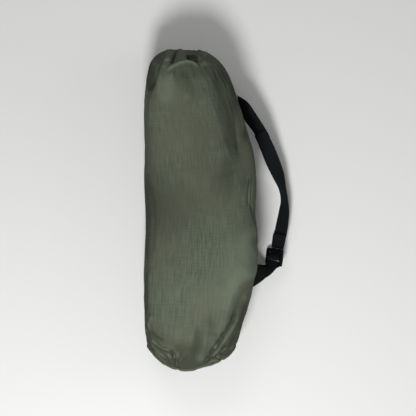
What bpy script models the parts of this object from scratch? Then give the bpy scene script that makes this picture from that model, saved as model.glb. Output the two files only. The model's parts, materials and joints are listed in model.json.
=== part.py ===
"""Camping cot, folded and packed in its soft carry bag, which lies on the ground.

Part frame: +Y along the bag towards its drawn mouth, +X towards the shoulder strap, +Z up.
The origin is the middle of the flat face that the bag rests on. Sizes and places below are in
millimetres, and become metres when a mesh is made.
"""

from math import cos, pi, radians, sin

import bmesh
import bpy
from mathutils import Matrix, Vector

METRES = 0.001
UP = Vector((0, 0, 1))

# Clearances
FIT = 0.35
CLOTH = 1.2

# Carry bag. Each station is a ring of the cloth: the place along Y of its sides, how far its top
# and bottom run on past them towards the base, its left, right, bottom and top, and pleat depth.
BAG_STATIONS = (
    (-214.0, 37.0, -85.0, 54.5, 14.0, 104.0, 0.0),
    (-206.0, 30.0, -87.0, 58.5, 5.0, 110.0, 0.0),
    (-192.0, 18.0, -88.7, 62.5, -1.0, 115.0, 0.0),
    (-172.0, 8.0, -89.0, 68.5, -5.0, 119.0, 0.0),
    (-142.0, 0.0, -89.0, 77.5, -6.0, 122.0, 0.0),
    (-100.0, 0.0, -89.0, 85.5, -6.0, 125.0, 0.0),
    (-55.0, 0.0, -89.0, 88.7, -6.0, 125.0, 0.0),
    (0.0, 0.0, -89.0, 86.5, -6.0, 124.5, 0.0),
    (45.0, 0.0, -89.0, 88.7, -6.0, 125.0, 0.0),
    (95.0, 0.0, -89.0, 82.4, -6.0, 125.0, 0.0),
    (127.0, 0.0, -89.0, 73.7, -6.0, 124.0, 0.0),
    (158.0, 0.0, -89.0, 63.4, -5.0, 122.0, 0.3),
    (190.0, 0.0, -87.5, 53.9, -1.0, 119.0, 1.0),
    (219.0, 0.0, -84.0, 41.2, 7.0, 110.0, 3.4),
    (231.0, 0.0, -80.5, 33.0, 13.0, 102.0, 4.2),
    (241.0, 0.0, -74.0, 23.0, 20.0, 92.0, 4.0),
    (248.5, 0.0, -65.0, 10.0, 27.0, 82.0, 3.2),
    (254.6, 0.0, -50.0, -4.5, 32.4, 75.6, 0.8),
)
SQUARENESS = 2.4
PLEATS = 9
STEPS_PER_PLEAT = 4
FIRST_CREASE = radians(12)
MOUTH_X = -27.0
MOUTH_Z = 54.0
HEM_Y = 248.0
HEM_RING_RADIUS = 17.0
HEM_ROLL_RADIUS = 3.9
HEM_PLEAT = 0.5
HEM_LIP = (19.6, 253.5)
HEM_ROLL_TURN = (85, 135, 190, 245, 300)
DRAWCORD_RADIUS = 1.5
BASE_BULGE = 4.0
BINDING_RADIUS = 1.6
BINDING_GAP = 0.7
PANEL_SHARES = (0.98, 0.55)
HEM_CORD_STEPS = 20

# Bed cloth, rolled round the frame
ROLL_STATIONS = (-192.0, -142.0, -70.0, 50.0, 127.0, 192.0)
ROLL_INSET = 2.7
ROLL_CLOTH = 3.0
ROLL_PITCH = 3.7
ROLL_TURNS = 2.0
ROLL_STEPS_PER_TURN = 22
ROLL_START = radians(-60)

# Side rails: ten tube sections in a hexagonal bundle, as (x, z) in the order of each shock cord
RAIL_RADIUS = 8.0
RAIL_WALL = 1.2
RAIL_LENGTH = 410.0
RAIL_MIDDLE_Y = -5.0
SWAGE_RADIUS = 6.6
SWAGE_LENGTH = 30.0
RAIL_PLACES = {
    "left": ((-37.6, 25.2), (-53.0, 34.0), (-53.0, 51.6), (-53.0, 69.2), (-37.6, 78.0)),
    "right": ((-37.6, 42.8), (-22.2, 34.0), (-22.2, 51.6), (-22.2, 69.2), (-37.6, 60.4)),
}
CORD_RADIUS = 1.5
KNOT_RADIUS = 2.9
CAP_HEAD_RADIUS = 7.6
CAP_HEAD = 5.0
CAP_SPIGOT = 12.0

# Leg sets: three, one above the other, each the same about its own middle
LEG_X = 17.4
LEG_Y = -25.0
LEG_LEVELS = (37.0, 57.0, 77.0)
ARCH_RADIUS = 6.5
ARCH_WALL = 1.1
ARCH_HALF_SPAN = 147.0
ARCH_BOW = 9.0
STRUT_RADIUS = 6.0
STRUT_WALL = 1.0
STRUT_LENGTH = 262.0
STRUT_OFFSET_X = -24.0
STRUT_OUTER_Y = 157.0
FOOT_Y = 152.0
FOOT_SOCKET_DEPTH = 18.0
STRUT_SOCKET_LEAN = radians(25)
STRUT_SOCKET_LENGTH = 22.0
STRUT_SOCKET_BASE = Vector((-1.0, 2.0))
SOCKET_FIT = 0.3
FOOT_WEB = 9.0
FOOT_OUTLINE = (
    (-8, -21), (8, -21), (12, -15), (13.5, 0), (12, 14), (7, 20), (-4, 21), (-12, 15), (-13, 4),
    (-11, -12),
)
SOLE_OUTLINE = ((10.6, -14), (13.4, -15.5), (14.4, -9), (14.4, 9), (13.4, 15), (10.6, 13.5))
SOLE_WIDTH = 18.6
ARCH_BOSS = ((0, -23), (0, -1), 9.0)
STRUT_BOSS_RADIUS = 8.6
STRUT_BOSS_ROOT = 4.0
CORD_CHANNEL = ((0.3, -7), (-1.8, 5), 2.4)
HOOK_OFFSET = 4.5
HOOK_INNER = 8.3
HOOK_OUTER = 11.0
HOOK_WIDTH = 12.0
HOOK_OPENING = 100
HOOK_STEPS = 7
HOOK_NECK = 2.6
HOOK_SPIGOT = 14.0
HOOK_COLLAR = 6.3
HOOK_STEM = 6.0
HOOK_RECESS = (1.6, 3.7)
HOOK_BORE = 2.0

# Shoulder strap
WEBBING_WIDTH = 25.0
WEBBING = 1.5
LAYER = WEBBING + 0.3
SELVEDGE = 0.75
# Centre line from the lap to the ladder lock, as (x, y, z, tilt of the outer edge upwards)
STRAP_ROUTE = (
    (94.5, 124.0, 34.0, 42),
    (104.5, 103.0, 27.0, 28),
    (114.5, 79.0, 21.0, 24),
    (124.0, 57.0, 16.5, 40),
    (131.0, 36.0, 12.7, 63),
    (134.5, 16.0, 12.1, 64),
    (133.8, -3.0, 10.9, 50),
    (130.0, -28.5, 9.6, 38),
    (125.8, -49.0, 9.4, 38),
)
# Corners of the two seams that hold the strap on the bag's side
UPPER_SEAM = (Vector((57.3, 181.0, 56.0)), Vector((59.6, 166.0, 38.0)))
LOWER_SEAM = (Vector((80.2, -124.0, 37.0)), Vector((86.0, -86.0, 39.0)))
TAB_MIDDLE = (76.0, 151.0, 42.0, 50)
LAP_RINGS = 3
ANCHOR_BEND = (Vector((104.5, -107.5, 30.0)), Vector((99.0, -89.0, 18.0)))
ANCHOR_LAYER = WEBBING + 0.6
ANCHOR_MEET = 8.0
ANCHOR_TURN = (62, 90, 125, 160, 200, 235, 270, 298)

# Ladder lock, in its own frame: X along its bars, Y along the strap towards the anchor, Z outwards
LOCK_CENTRE = Vector((118.0, -78.0, 13.7))
LOCK_ALONG = Vector((-0.17, -0.985, 0.0)).normalized()
LOCK_BARS = Vector((0.70, -0.12, 0.71)).normalized()
LOCK_WIDTH = 33.5
LOCK_SLOT = 25.8
REAR_BAR_Y = 8.5
REAR_BAR_RADIUS = 2.0
CENTRE_BAR = (-1.0, 0.8)
CENTRE_BAR_RADIUS = 1.9
NOSE_PROFILE = (
    (-15.8, 2.6), (-15.2, 0.6), (-13.8, 0.0), (-10.6, 0.0), (-10.2, 1.6), (-10.9, 3.6),
    (-11.6, 3.2), (-12.2, 4.0), (-12.9, 3.5), (-13.5, 4.3), (-14.2, 3.7), (-15.0, 4.2),
)
SIDE_PROFILE = (
    (-15.8, 2.2), (-15.0, 0.3), (-12.0, -0.4), (-4.0, -1.6), (2.0, -2.2), (8.5, -2.3),
    (10.3, -1.4), (10.9, 0.0), (10.3, 1.4), (8.5, 2.3), (2.5, 3.0), (-4.0, 4.0),
    (-10.5, 4.3), (-14.6, 3.8),
)
TAIL_LENGTH = 24.0
TAIL_HEM = 9.0
LOADED_LAYER = -3.2
TAIL_LAYER = LOADED_LAYER + LAYER
LOCK_MOUTH = -17.0
LOADED_PATH = ((-11.0, LOADED_LAYER), (-6.0, -2.9))
WRAP_TURN = (-10, 25, 60, 95, 130, 165, 195)
TAIL_PATH = ((-5.6, 2.2), (-7.8, -0.2), (-10.4, TAIL_LAYER))
WRAP_FIT = 0.45


def finish(name, colour, roughness, metallic=0.0):
    material = bpy.data.materials.new(name)
    material.use_nodes = True
    shader = material.node_tree.nodes["Principled BSDF"]
    shader.inputs["Base Color"].default_value = (*colour, 1)
    shader.inputs["Roughness"].default_value = roughness
    shader.inputs["Metallic"].default_value = metallic
    material.diffuse_color = (*colour, 1)
    return material


def axis_empty(name, place):
    empty = bpy.data.objects.new(name, None)
    empty.location = Vector(place) * METRES
    empty.empty_display_size = 0.03
    bpy.context.collection.objects.link(empty)
    return empty


def put(name, mesh, material, axis, place=(0, 0, 0), turn=None):
    """Adds a mesh as an object, at a place in the part frame, carried by its joint's empty."""
    part = bpy.data.objects.new(name, mesh)
    if not mesh.materials:
        mesh.materials.append(material)
    mesh.shade_smooth()
    mesh.set_sharp_from_angle(angle=radians(35))
    part.parent = axis
    matrix = Matrix.Translation(Vector(place) * METRES - axis.location)
    part.matrix_local = matrix @ turn.to_4x4() if turn else matrix
    bpy.context.collection.objects.link(part)
    return part


def mesh_of(name, points, faces, twisted=False):
    """A closed mesh in metres, its faces turned outwards.

    Twisted faces are split along their shorter diagonal, so that layers of cloth stay parallel.
    """
    mesh = bpy.data.meshes.new(name)
    mesh.from_pydata([Vector(p) * METRES for p in points], [], faces)
    body = bmesh.new()
    body.from_mesh(mesh)
    if twisted:
        bmesh.ops.triangulate(body, faces=body.faces, quad_method="SHORT_EDGE")
    bmesh.ops.recalc_face_normals(body, faces=body.faces)
    body.to_mesh(mesh)
    body.free()
    return mesh


def stitched(rings, closed_rows=False):
    """Side faces between rings of equal length, each ring closed on itself."""
    count = len(rings[0])
    rows = len(rings)
    last = rows if closed_rows else rows - 1
    faces = []
    for row in range(last):
        for step in range(count):
            a = row * count + step
            b = row * count + (step + 1) % count
            above = (row + 1) % rows
            faces.append((a, b, above * count + (step + 1) % count, above * count + step))
    return faces


def lofted(name, rings, tips=(), twisted=False):
    """A solid through closed rings. Its ends are flat, or run to the two tips."""
    count = len(rings[0])
    points = [p for ring in rings for p in ring]
    faces = stitched(rings)
    for end, first in enumerate((0, (len(rings) - 1) * count)):
        if tips:
            faces += [(first + step, first + (step + 1) % count, len(points)) for step in range(count)]
            points.append(tips[end])
        else:
            faces.append(tuple(range(first, first + count)))
    return mesh_of(name, points, faces, twisted)


def turned(name, profile, steps):
    """A ring-shaped solid: a closed (radius, y) profile turned about the Y axis."""
    rings = []
    for step in range(steps):
        angle = 2 * pi * step / steps
        rings.append([(r * cos(angle), y, r * sin(angle)) for r, y in profile])
    return mesh_of(name, [p for ring in rings for p in ring], stitched(rings, closed_rows=True))


def flat(u, v, height):
    return u, v, height


def extruded(name, outline, height, to_point):
    """A flat outline given thickness; to_point places (u, v, height) in space."""
    rings = [[to_point(u, v, h) for u, v in outline] for h in (-height / 2, height / 2)]
    return lofted(name, rings)


def swept(name, route, radius, sides, bore=0.0):
    """A round bar or, with a bore, an open tube along a route that stays level."""
    rings = []
    for index, place in enumerate(route):
        before = route[max(index - 1, 0)]
        after = route[min(index + 1, len(route) - 1)]
        along = (after - before).normalized()
        across = along.cross(UP).normalized()
        raised = across.cross(along)
        angles = [2 * pi * step / sides for step in range(sides)]
        rings.append([place + across * cos(a) * radius + raised * sin(a) * radius for a in angles])
        if bore:
            inner = [place + across * cos(a) * bore + raised * sin(a) * bore for a in angles]
            rings[-1] = [rings[-1], inner]
    if not bore:
        return lofted(name, rings)
    around = [ring[0] for ring in rings] + [ring[1] for ring in reversed(rings)]
    return mesh_of(name, [p for ring in around for p in ring], stitched(around, closed_rows=True))


def face_normals(centres, halves):
    """Unit vectors square to a strip's run and to its width."""
    normals = []
    for index, half in enumerate(halves):
        before = centres[max(index - 1, 0)]
        after = centres[min(index + 1, len(centres) - 1)]
        normals.append((after - before).cross(half).normalized())
    return normals


def ribbon(name, centres, halves, normals=None, thickness=None):
    """A webbing strip with soft edges, through centre points and half-width vectors."""
    normals = normals or face_normals(centres, halves)
    thickness = thickness or [WEBBING] * len(centres)
    rings = []
    for centre, half, normal, thick in zip(centres, halves, normals, thickness):
        face = normal * thick / 2
        edge = half * (1 - SELVEDGE / half.length)
        rings.append([centre - half, centre - edge + face, centre + edge + face,
                      centre + half, centre + edge - face, centre - edge - face])
    return lofted(name, rings, twisted=True)


def curve_through(points, steps):
    """A smooth curve through all the points, as a list of vectors."""
    points = [Vector(p) for p in points]
    padded = [2 * points[0] - points[1]] + points + [2 * points[-1] - points[-2]]
    route = []
    for index in range(1, len(padded) - 2):
        p0, p1, p2, p3 = padded[index - 1:index + 3]
        for step in range(steps):
            t = step / steps
            route.append(0.5 * (2 * p1 + (p2 - p0) * t + (2 * p0 - 5 * p1 + 4 * p2 - p3) * t * t
                                + (3 * p1 - p0 - 3 * p2 + p3) * t ** 3))
    route.append(points[-1])
    return route


def cord(name, route, radius, material, axis, closed=False, sizes=None):
    """A round cord as a curve with filled ends. sizes swells it, as at a knot."""
    data = bpy.data.curves.new(name, "CURVE")
    data.dimensions = "3D"
    data.bevel_depth = radius * METRES
    data.bevel_resolution = 1
    data.use_fill_caps = True
    data.materials.append(material)
    spline = data.splines.new("POLY")
    spline.points.add(len(route) - 1)
    for index, (point, place) in enumerate(zip(spline.points, route)):
        point.co = (*(Vector(place) * METRES - axis.location), 1)
        point.radius = sizes[index] if sizes else 1
    spline.use_cyclic_u = closed
    part = bpy.data.objects.new(name, data)
    part.parent = axis
    bpy.context.collection.objects.link(part)
    return part


def combine(part, mesh, operation):
    """Joins or cuts a mesh into a part with an exact Boolean. The helper is a hidden guide."""
    helper = bpy.data.objects.new(part.name + "_" + mesh.name, mesh)
    helper.hide_render = True
    helper.display_type = "WIRE"
    helper.parent = part
    bpy.context.collection.objects.link(helper)
    modifier = part.modifiers.new(mesh.name, "BOOLEAN")
    modifier.operation = operation
    modifier.solver = "EXACT"
    modifier.object = helper


def signed_power(value, power):
    return (1 if value >= 0 else -1) * abs(value) ** power


def bag_angles():
    count = PLEATS * STEPS_PER_PLEAT
    return [FIRST_CREASE + 2 * pi * step / count for step in range(count)]


def pleat_wave(angle):
    """Zero in each crease, one on each crest between them."""
    return abs(sin((angle - FIRST_CREASE) * PLEATS / 2)) ** 0.8


def bag_ring(station):
    side_y, run_on, left, right, low, high, pleat = station
    ring = []
    for angle in bag_angles():
        swell = pleat * (pleat_wave(angle) - 1)
        wide = (right - left) / 2 + swell
        tall = (high - low) / 2 + swell
        x = (left + right) / 2 + wide * signed_power(cos(angle), 2 / SQUARENESS)
        z = (low + high) / 2 + tall * signed_power(sin(angle), 2 / SQUARENESS)
        ring.append(Vector((x, side_y - run_on * sin(angle) ** 2, max(z, 0.0))))
    return ring


def round_ring(radius, y, pleat):
    ring = []
    for angle in bag_angles():
        reach = radius + pleat * (pleat_wave(angle) - 0.5)
        ring.append(Vector((MOUTH_X + reach * cos(angle), y, MOUTH_Z + reach * sin(angle))))
    return ring


def bag_rings():
    rings = [bag_ring(station) for station in BAG_STATIONS]
    rings.append(round_ring(*HEM_LIP, HEM_PLEAT * 2))
    for turn in HEM_ROLL_TURN:
        reach = HEM_RING_RADIUS + HEM_ROLL_RADIUS * cos(radians(turn))
        rings.append(round_ring(reach, HEM_Y + HEM_ROLL_RADIUS * sin(radians(turn)), HEM_PLEAT))
    return rings


def inner_rings(rings, thickness):
    """The rings moved inwards by the cloth's thickness, square to the surface."""
    count = len(rings[0])
    inner = []
    for row, ring in enumerate(rings):
        below = rings[max(row - 1, 0)]
        above = rings[min(row + 1, len(rings) - 1)]
        normals = []
        for step in range(count):
            around = ring[(step + 1) % count] - ring[step - 1]
            along = above[step] - below[step]
            normals.append(along.cross(around).normalized())
        moved = []
        for step, place in enumerate(ring):
            even = normals[step - 1] + 2 * normals[step] + normals[(step + 1) % count]
            moved.append(place - even.normalized() * thickness)
        inner.append(moved)
    return inner


def carry_bag(axis, cloth, trim):
    rings = bag_rings()
    around = rings + inner_rings(rings, CLOTH)[::-1]
    points = [p for ring in around for p in ring]
    shell = mesh_of("bag_cloth", points, stitched(around, closed_rows=True), twisted=True)
    put("bag_cloth", shell, cloth, axis)

    seam = rings[0]
    side_y, run_on, left, right, low, high, _ = BAG_STATIONS[0]
    middle = Vector(((left + right) / 2, 0, (low + high) / 2))
    half_width = (right - left) / 2
    rings = []
    for offset in (0.0, CLOTH):
        for share in PANEL_SHARES:
            ring = []
            for place in seam:
                spoke = Vector((place.x - middle.x, 0, place.z - middle.z))
                spoke *= share * (1 - (CLOTH + FIT) / spoke.length)
                level = run_on * (1 - (abs(spoke.x) / half_width) ** SQUARENESS)
                y = side_y - level - BASE_BULGE * (1 - share ** 2) + offset
                ring.append(middle + spoke + Vector((0, y, 0)))
            rings.append(ring)
    outer, inner = rings[:len(PANEL_SHARES)], rings[len(PANEL_SHARES):]
    tips = [middle + Vector((0, side_y - run_on - BASE_BULGE + offset, 0)) for offset in (0.0, CLOTH)]
    panel = lofted("base_panel", outer[::-1] + inner, tips)
    put("base_panel", panel, cloth, axis)

    bead = []
    for place in seam:
        spoke = Vector((place.x - middle.x, 0, place.z - middle.z)).normalized()
        bead.append(place - spoke * CLOTH / 2 - Vector((0, BINDING_RADIUS + BINDING_GAP, 0)))
    cord("base_binding", bead, BINDING_RADIUS, cloth, axis, closed=True)

    turns = [2 * pi * step / HEM_CORD_STEPS for step in range(HEM_CORD_STEPS)]
    loop = [(MOUTH_X + HEM_RING_RADIUS * cos(a), HEM_Y, MOUTH_Z + HEM_RING_RADIUS * sin(a))
            for a in turns]
    cord("mouth_drawcord", loop, DRAWCORD_RADIUS, trim, axis, closed=True)


def section_at(y):
    """Left, right, bottom and top of the bag at a place along Y."""
    for first, second in zip(BAG_STATIONS, BAG_STATIONS[1:]):
        if first[0] <= y <= second[0]:
            share = (y - first[0]) / (second[0] - first[0])
            return [a + (b - a) * share for a, b in zip(first[2:6], second[2:6])]
    return BAG_STATIONS[0][2:6]


def roll_point(y, angle, inset):
    left, right, low, high = section_at(y)
    x = (left + right) / 2 + ((right - left) / 2 - inset) * signed_power(cos(angle), 2 / SQUARENESS)
    z = (low + high) / 2 + ((high - low) / 2 - inset) * signed_power(sin(angle), 2 / SQUARENESS)
    return Vector((x, y, max(z, inset)))


def bed_roll(axis, cloth):
    steps = round(ROLL_TURNS * ROLL_STEPS_PER_TURN)
    rings = []
    for step in range(steps + 1):
        turns = step / ROLL_STEPS_PER_TURN
        angle = ROLL_START + 2 * pi * turns
        outer = ROLL_INSET + ROLL_PITCH * turns
        ring = [roll_point(y, angle, outer) for y in ROLL_STATIONS]
        ring += [roll_point(y, angle, outer + ROLL_CLOTH) for y in reversed(ROLL_STATIONS)]
        rings.append(ring)
    count = len(rings[0])
    faces = stitched(rings)
    for first in (0, steps * count):
        faces += [(first + k, first + k + 1, first + count - 2 - k, first + count - 1 - k)
                  for k in range(count // 2 - 1)]
    sheet = mesh_of("bed_sheet", [p for ring in rings for p in ring], faces, twisted=True)
    put("bed_sheet", sheet, cloth, axis)


def rail_tube(name, swaged):
    half = RAIL_LENGTH / 2
    bore = RAIL_RADIUS - RAIL_WALL
    if not swaged:
        return turned(name, [(RAIL_RADIUS, -half), (RAIL_RADIUS, half), (bore, half), (bore, -half)], 10)
    shoulder = half - SWAGE_LENGTH
    profile = [(RAIL_RADIUS, -half), (RAIL_RADIUS, shoulder - 2.0), (SWAGE_RADIUS, shoulder),
               (SWAGE_RADIUS, half), (SWAGE_RADIUS - RAIL_WALL, half),
               (SWAGE_RADIUS - RAIL_WALL, shoulder - 2.0), (bore, shoulder - 6.0), (bore, -half)]
    return turned(name, profile, 10)


def rail_cap_mesh():
    """An end plug: spigot, domed head, cord bore and a recess for the knot. The head is at -Y."""
    spigot = RAIL_RADIUS - RAIL_WALL - 0.3
    profile = [(2.1, CAP_SPIGOT), (spigot - 0.8, CAP_SPIGOT), (spigot, CAP_SPIGOT - 1.5), (spigot, -FIT),
               (CAP_HEAD_RADIUS, -FIT), (CAP_HEAD_RADIUS, -2.5), (CAP_HEAD_RADIUS - 2.2, -CAP_HEAD),
               (4.0, -CAP_HEAD), (3.6, -0.6), (2.1, -0.2)]
    return turned("rail_cap", profile, 10)


def u_turn(start, end, reach):
    """Four points of the cord's loop between two neighbouring tube ends."""
    middle = (start + end) / 2
    half = (start - end) / 2
    loop = []
    for angle in (12, 64, 116, 168):
        loop.append(middle + half * cos(radians(angle)) + Vector((0, reach * sin(radians(angle)), 0)))
    return loop


def side_rails(axis, alloy, plastic, elastic):
    swaged = rail_tube("rail_section", True)
    plain = rail_tube("rail_end_section", False)
    cap = rail_cap_mesh()
    turned_round = Matrix.Rotation(pi, 3, "Z")
    near = RAIL_MIDDLE_Y - RAIL_LENGTH / 2
    far = RAIL_MIDDLE_Y + RAIL_LENGTH / 2
    for side, places in RAIL_PLACES.items():
        route = []
        for index, (x, z) in enumerate(places):
            forward = index % 2 == 0
            last = index == len(places) - 1
            put(f"rail_{side}_{index + 1}", plain if last else swaged, alloy, axis,
                (x, RAIL_MIDDLE_Y, z), None if forward else turned_round)
            start, end = (near, far) if forward else (far, near)
            route.append(Vector((x, start, z)))
            route.append(Vector((x, end, z)))
        whole = [route[0] - Vector((0, 3.2, 0)), route[0] + Vector((0, 0.4, 0))]
        for index in range(1, len(route) - 1, 2):
            first, second = route[index], route[index + 1]
            outward = 1 if first.y > RAIL_MIDDLE_Y else -1
            whole += [first] + u_turn(first, second, outward * 8.0) + [second]
        whole += [route[-1] - Vector((0, 0.4, 0)), route[-1] + Vector((0, 3.2, 0))]
        swell = KNOT_RADIUS / CORD_RADIUS
        sizes = [swell] + [1] * (len(whole) - 2) + [swell]
        cord(f"rail_cord_{side}", whole, CORD_RADIUS, elastic, axis, sizes=sizes)
        first_x, first_z = places[0]
        last_x, last_z = places[-1]
        put(f"rail_cap_{side}_foot", cap, plastic, axis, (first_x, near, first_z))
        put(f"rail_cap_{side}_head", cap, plastic, axis, (last_x, far, last_z), turned_round)


def level_round(name, start, end, radius, sides):
    return swept(name, [Vector((*start, 0)), Vector((*end, 0))], radius, sides)


def foot_parts():
    """Meshes of a moulded leg foot about its middle. The arch socket opens towards -Y."""
    along = Vector((-sin(STRUT_SOCKET_LEAN), cos(STRUT_SOCKET_LEAN)))
    base = STRUT_SOCKET_BASE
    mouth = base + along * STRUT_SOCKET_LENGTH
    opening = Vector(ARCH_BOSS[0])
    web = extruded("web", FOOT_OUTLINE, FOOT_WEB, flat)
    arch_boss = level_round("arch_boss", *ARCH_BOSS, 10)
    strut_boss = level_round("strut_boss", base - along * STRUT_BOSS_ROOT, mouth, STRUT_BOSS_RADIUS, 10)
    sole = extruded("sole", SOLE_OUTLINE, SOLE_WIDTH, flat)
    arch_bore = level_round("arch_bore", opening - Vector((0, 1)), opening + Vector((0, FOOT_SOCKET_DEPTH)),
                            ARCH_RADIUS + SOCKET_FIT, 10)
    strut_bore = level_round("strut_bore", base, mouth + along, STRUT_RADIUS + SOCKET_FIT, 10)
    channel = level_round("channel", *CORD_CHANNEL, 6)
    return web, (arch_boss, strut_boss, sole), (arch_bore, strut_bore, channel), mouth


def hook_parts():
    """Meshes of a rail hook. Its spigot goes into the strut at -Y and its clip lies at +Y."""
    spigot = STRUT_RADIUS - STRUT_WALL - 0.25
    profile = [(spigot - 0.6, -HOOK_SPIGOT), (spigot, 1 - HOOK_SPIGOT), (spigot, FIT), (HOOK_COLLAR, FIT),
               (HOOK_COLLAR, HOOK_STEM / 2), (HOOK_COLLAR - 1.3, HOOK_STEM)]
    turns = [2 * pi * step / 8 for step in range(8)]
    stem = lofted("stem", [[(r * cos(a), y, r * sin(a)) for a in turns] for r, y in profile])
    middle = Vector((HOOK_OFFSET, HOOK_OUTER + HOOK_NECK))
    angles = [radians(HOOK_OPENING / 2 + (360 - HOOK_OPENING) * step / HOOK_STEPS)
              for step in range(HOOK_STEPS + 1)]
    outer = [(middle.x + HOOK_OUTER * cos(a), middle.y + HOOK_OUTER * sin(a)) for a in angles]
    inner = [(middle.x + HOOK_INNER * cos(a), middle.y + HOOK_INNER * sin(a)) for a in reversed(angles)]
    clip = extruded("clip", outer + inner, HOOK_WIDTH, flat)
    recess_floor, recess_radius = HOOK_RECESS
    recess = level_round("recess", (0, recess_floor), (0, HOOK_STEM + 1.5), recess_radius, 6)
    bore = level_round("bore", (0, -HOOK_SPIGOT - 1), (0, HOOK_STEM + 1), HOOK_BORE, 6)
    return stem, clip, (recess, bore)


def leg_set(number, level, axis, alloy, plastic, elastic, meshes):
    strut, arch, foot, hook = meshes
    web, bosses, bores, mouth = foot
    stem, clip, hook_cuts = hook
    centre = Vector((LEG_X, LEG_Y, level))
    put(f"leg_arch_{number}", arch, alloy, axis, centre)
    half_turn = Matrix.Rotation(pi, 3, "Z")
    for end, turn in (("a", None), ("b", half_turn)):
        spin = turn or Matrix.Identity(3)
        moulding = put(f"leg_foot_{number}{end}", web.copy(), plastic, axis,
                       centre + spin @ Vector((0, FOOT_Y, 0)), turn)
        for boss in bosses:
            combine(moulding, boss.copy(), "UNION")
        for bore in bores:
            combine(moulding, bore.copy(), "DIFFERENCE")
        strut_middle = STRUT_OUTER_Y - STRUT_LENGTH / 2
        put(f"leg_strut_{number}{end}", strut, alloy, axis,
            centre + spin @ Vector((STRUT_OFFSET_X, strut_middle, 0)), turn)
        hook_turn = spin @ Matrix.Rotation(pi, 3, "Z") @ Matrix.Scale(-1, 3, (1, 0, 0))
        tip = centre + spin @ Vector((STRUT_OFFSET_X, STRUT_OUTER_Y - STRUT_LENGTH, 0))
        clip_part = put(f"rail_hook_{number}{end}", stem.copy(), plastic, axis, tip)
        mirror_mesh(clip_part.data, hook_turn)
        for mesh, operation in ((clip, "UNION"), (hook_cuts[0], "DIFFERENCE"), (hook_cuts[1], "DIFFERENCE")):
            shaped = mesh.copy()
            mirror_mesh(shaped, hook_turn)
            combine(clip_part, shaped, operation)
    cord_through_legs(number, centre, mouth, axis, elastic)


def mirror_mesh(mesh, matrix):
    """Turns a mesh in place, and flips its faces where the matrix mirrors it."""
    mesh.transform(matrix.to_4x4())
    if matrix.determinant() < 0:
        mesh.flip_normals()


def cord_through_legs(number, centre, mouth, axis, elastic):
    """One cord from hook to hook: strut, loop, foot, arch, foot, loop, strut."""
    strut_end = STRUT_OUTER_Y
    socket = Vector((mouth.x, FOOT_Y + mouth.y, 0))
    half = [
        Vector((STRUT_OFFSET_X, strut_end - STRUT_LENGTH - 4.6, 0)),
        Vector((STRUT_OFFSET_X, strut_end - STRUT_LENGTH - 2.2, 0)),
        Vector((STRUT_OFFSET_X, socket.y - 5, 0)),
        Vector((STRUT_OFFSET_X + 2.6, socket.y + 1, 0)),
        Vector((STRUT_OFFSET_X + 6.6, socket.y + 3.6, 0)),
        Vector((STRUT_OFFSET_X + 10.4, socket.y + 2.8, 0)),
        socket,
        Vector((-3.2, FOOT_Y + 7.5, 0)),
        Vector((-0.6, FOOT_Y - 1.0, 0)),
        Vector((0, FOOT_Y - 14.0, 0)),
    ]
    arch = arch_route(4)[1:-1]
    other = [Vector((-p.x, -p.y, 0)) for p in reversed(half)]
    route = [centre + p for p in half + arch[::-1] + other]
    swell = KNOT_RADIUS / CORD_RADIUS
    sizes = [swell] + [1] * (len(route) - 2) + [swell]
    cord(f"leg_cord_{number}", route, CORD_RADIUS, elastic, axis, sizes=sizes)


def arch_route(steps):
    """Centre line of a leg arch about the leg set's middle, straight where it enters the feet."""
    straight = ARCH_HALF_SPAN - FOOT_SOCKET_DEPTH - 4
    route = [Vector((0, -ARCH_HALF_SPAN, 0))]
    for step in range(steps + 1):
        share = 2 * step / steps - 1
        bow = ARCH_BOW * (1 - share ** 2) ** 2
        route.append(Vector((bow, straight * share, 0)))
    route.append(Vector((0, ARCH_HALF_SPAN, 0)))
    return route


def legs(axis, alloy, plastic, elastic):
    strut = swept("leg_strut", [Vector((0, -STRUT_LENGTH / 2, 0)), Vector((0, STRUT_LENGTH / 2, 0))],
                  STRUT_RADIUS, 10, STRUT_RADIUS - STRUT_WALL)
    arch = swept("leg_arch", arch_route(4), ARCH_RADIUS, 10, ARCH_RADIUS - ARCH_WALL)
    meshes = (strut, arch, foot_parts(), hook_parts())
    for number, level in enumerate(LEG_LEVELS, start=1):
        leg_set(number, level, axis, alloy, plastic, elastic, meshes)


def lock_frame():
    """Turns the ladder lock's own axes into the part frame."""
    bars = (LOCK_BARS - LOCK_ALONG * LOCK_BARS.dot(LOCK_ALONG)).normalized()
    return bars, LOCK_ALONG, LOCK_ALONG.cross(bars)


def in_lock(along, out):
    return LOCK_CENTRE + LOCK_ALONG * along + lock_frame()[2] * out


def strap_frames():
    """Centres, half-width vectors and outward faces of the long webbing."""
    bars = lock_frame()[0]
    route = [Vector(stop[:3]) for stop in STRAP_ROUTE]
    route.append(in_lock(LOCK_MOUTH, LOADED_LAYER - LAYER / 2))
    tilts = [stop[3] for stop in STRAP_ROUTE]
    halves = []
    for index, tilt in enumerate(tilts):
        ahead = route[index + 1] - route[max(index - 1, 0)]
        halves.append(tilted_half(ahead, tilt))
    halves.append(bars * WEBBING_WIDTH / 2)
    return route, halves


def tilted_half(ahead, tilt):
    level = Vector((-ahead.y, ahead.x, 0)).normalized()
    if level.x < 0:
        level = -level
    return (level * cos(radians(tilt)) + UP * sin(radians(tilt))) * WEBBING_WIDTH / 2


def smoothed(centres, halves, steps):
    """Finer centres and half-widths along a strip. The widths keep their length in between."""
    fine_centres = curve_through(centres, steps)
    fine_halves = []
    for index, half in enumerate(curve_through(halves, steps)):
        span = min(index / steps, len(halves) - 1)
        low = int(span)
        high = min(low + 1, len(halves) - 1)
        length = halves[low].length * (1 - span + low) + halves[high].length * (span - low)
        fine_halves.append(half.normalized() * length)
    return fine_centres, fine_halves


def lifted(centres, normals, amount):
    """A strip's centres moved outwards from its face."""
    return [centre + normal * amount for centre, normal in zip(centres, normals)]


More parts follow.
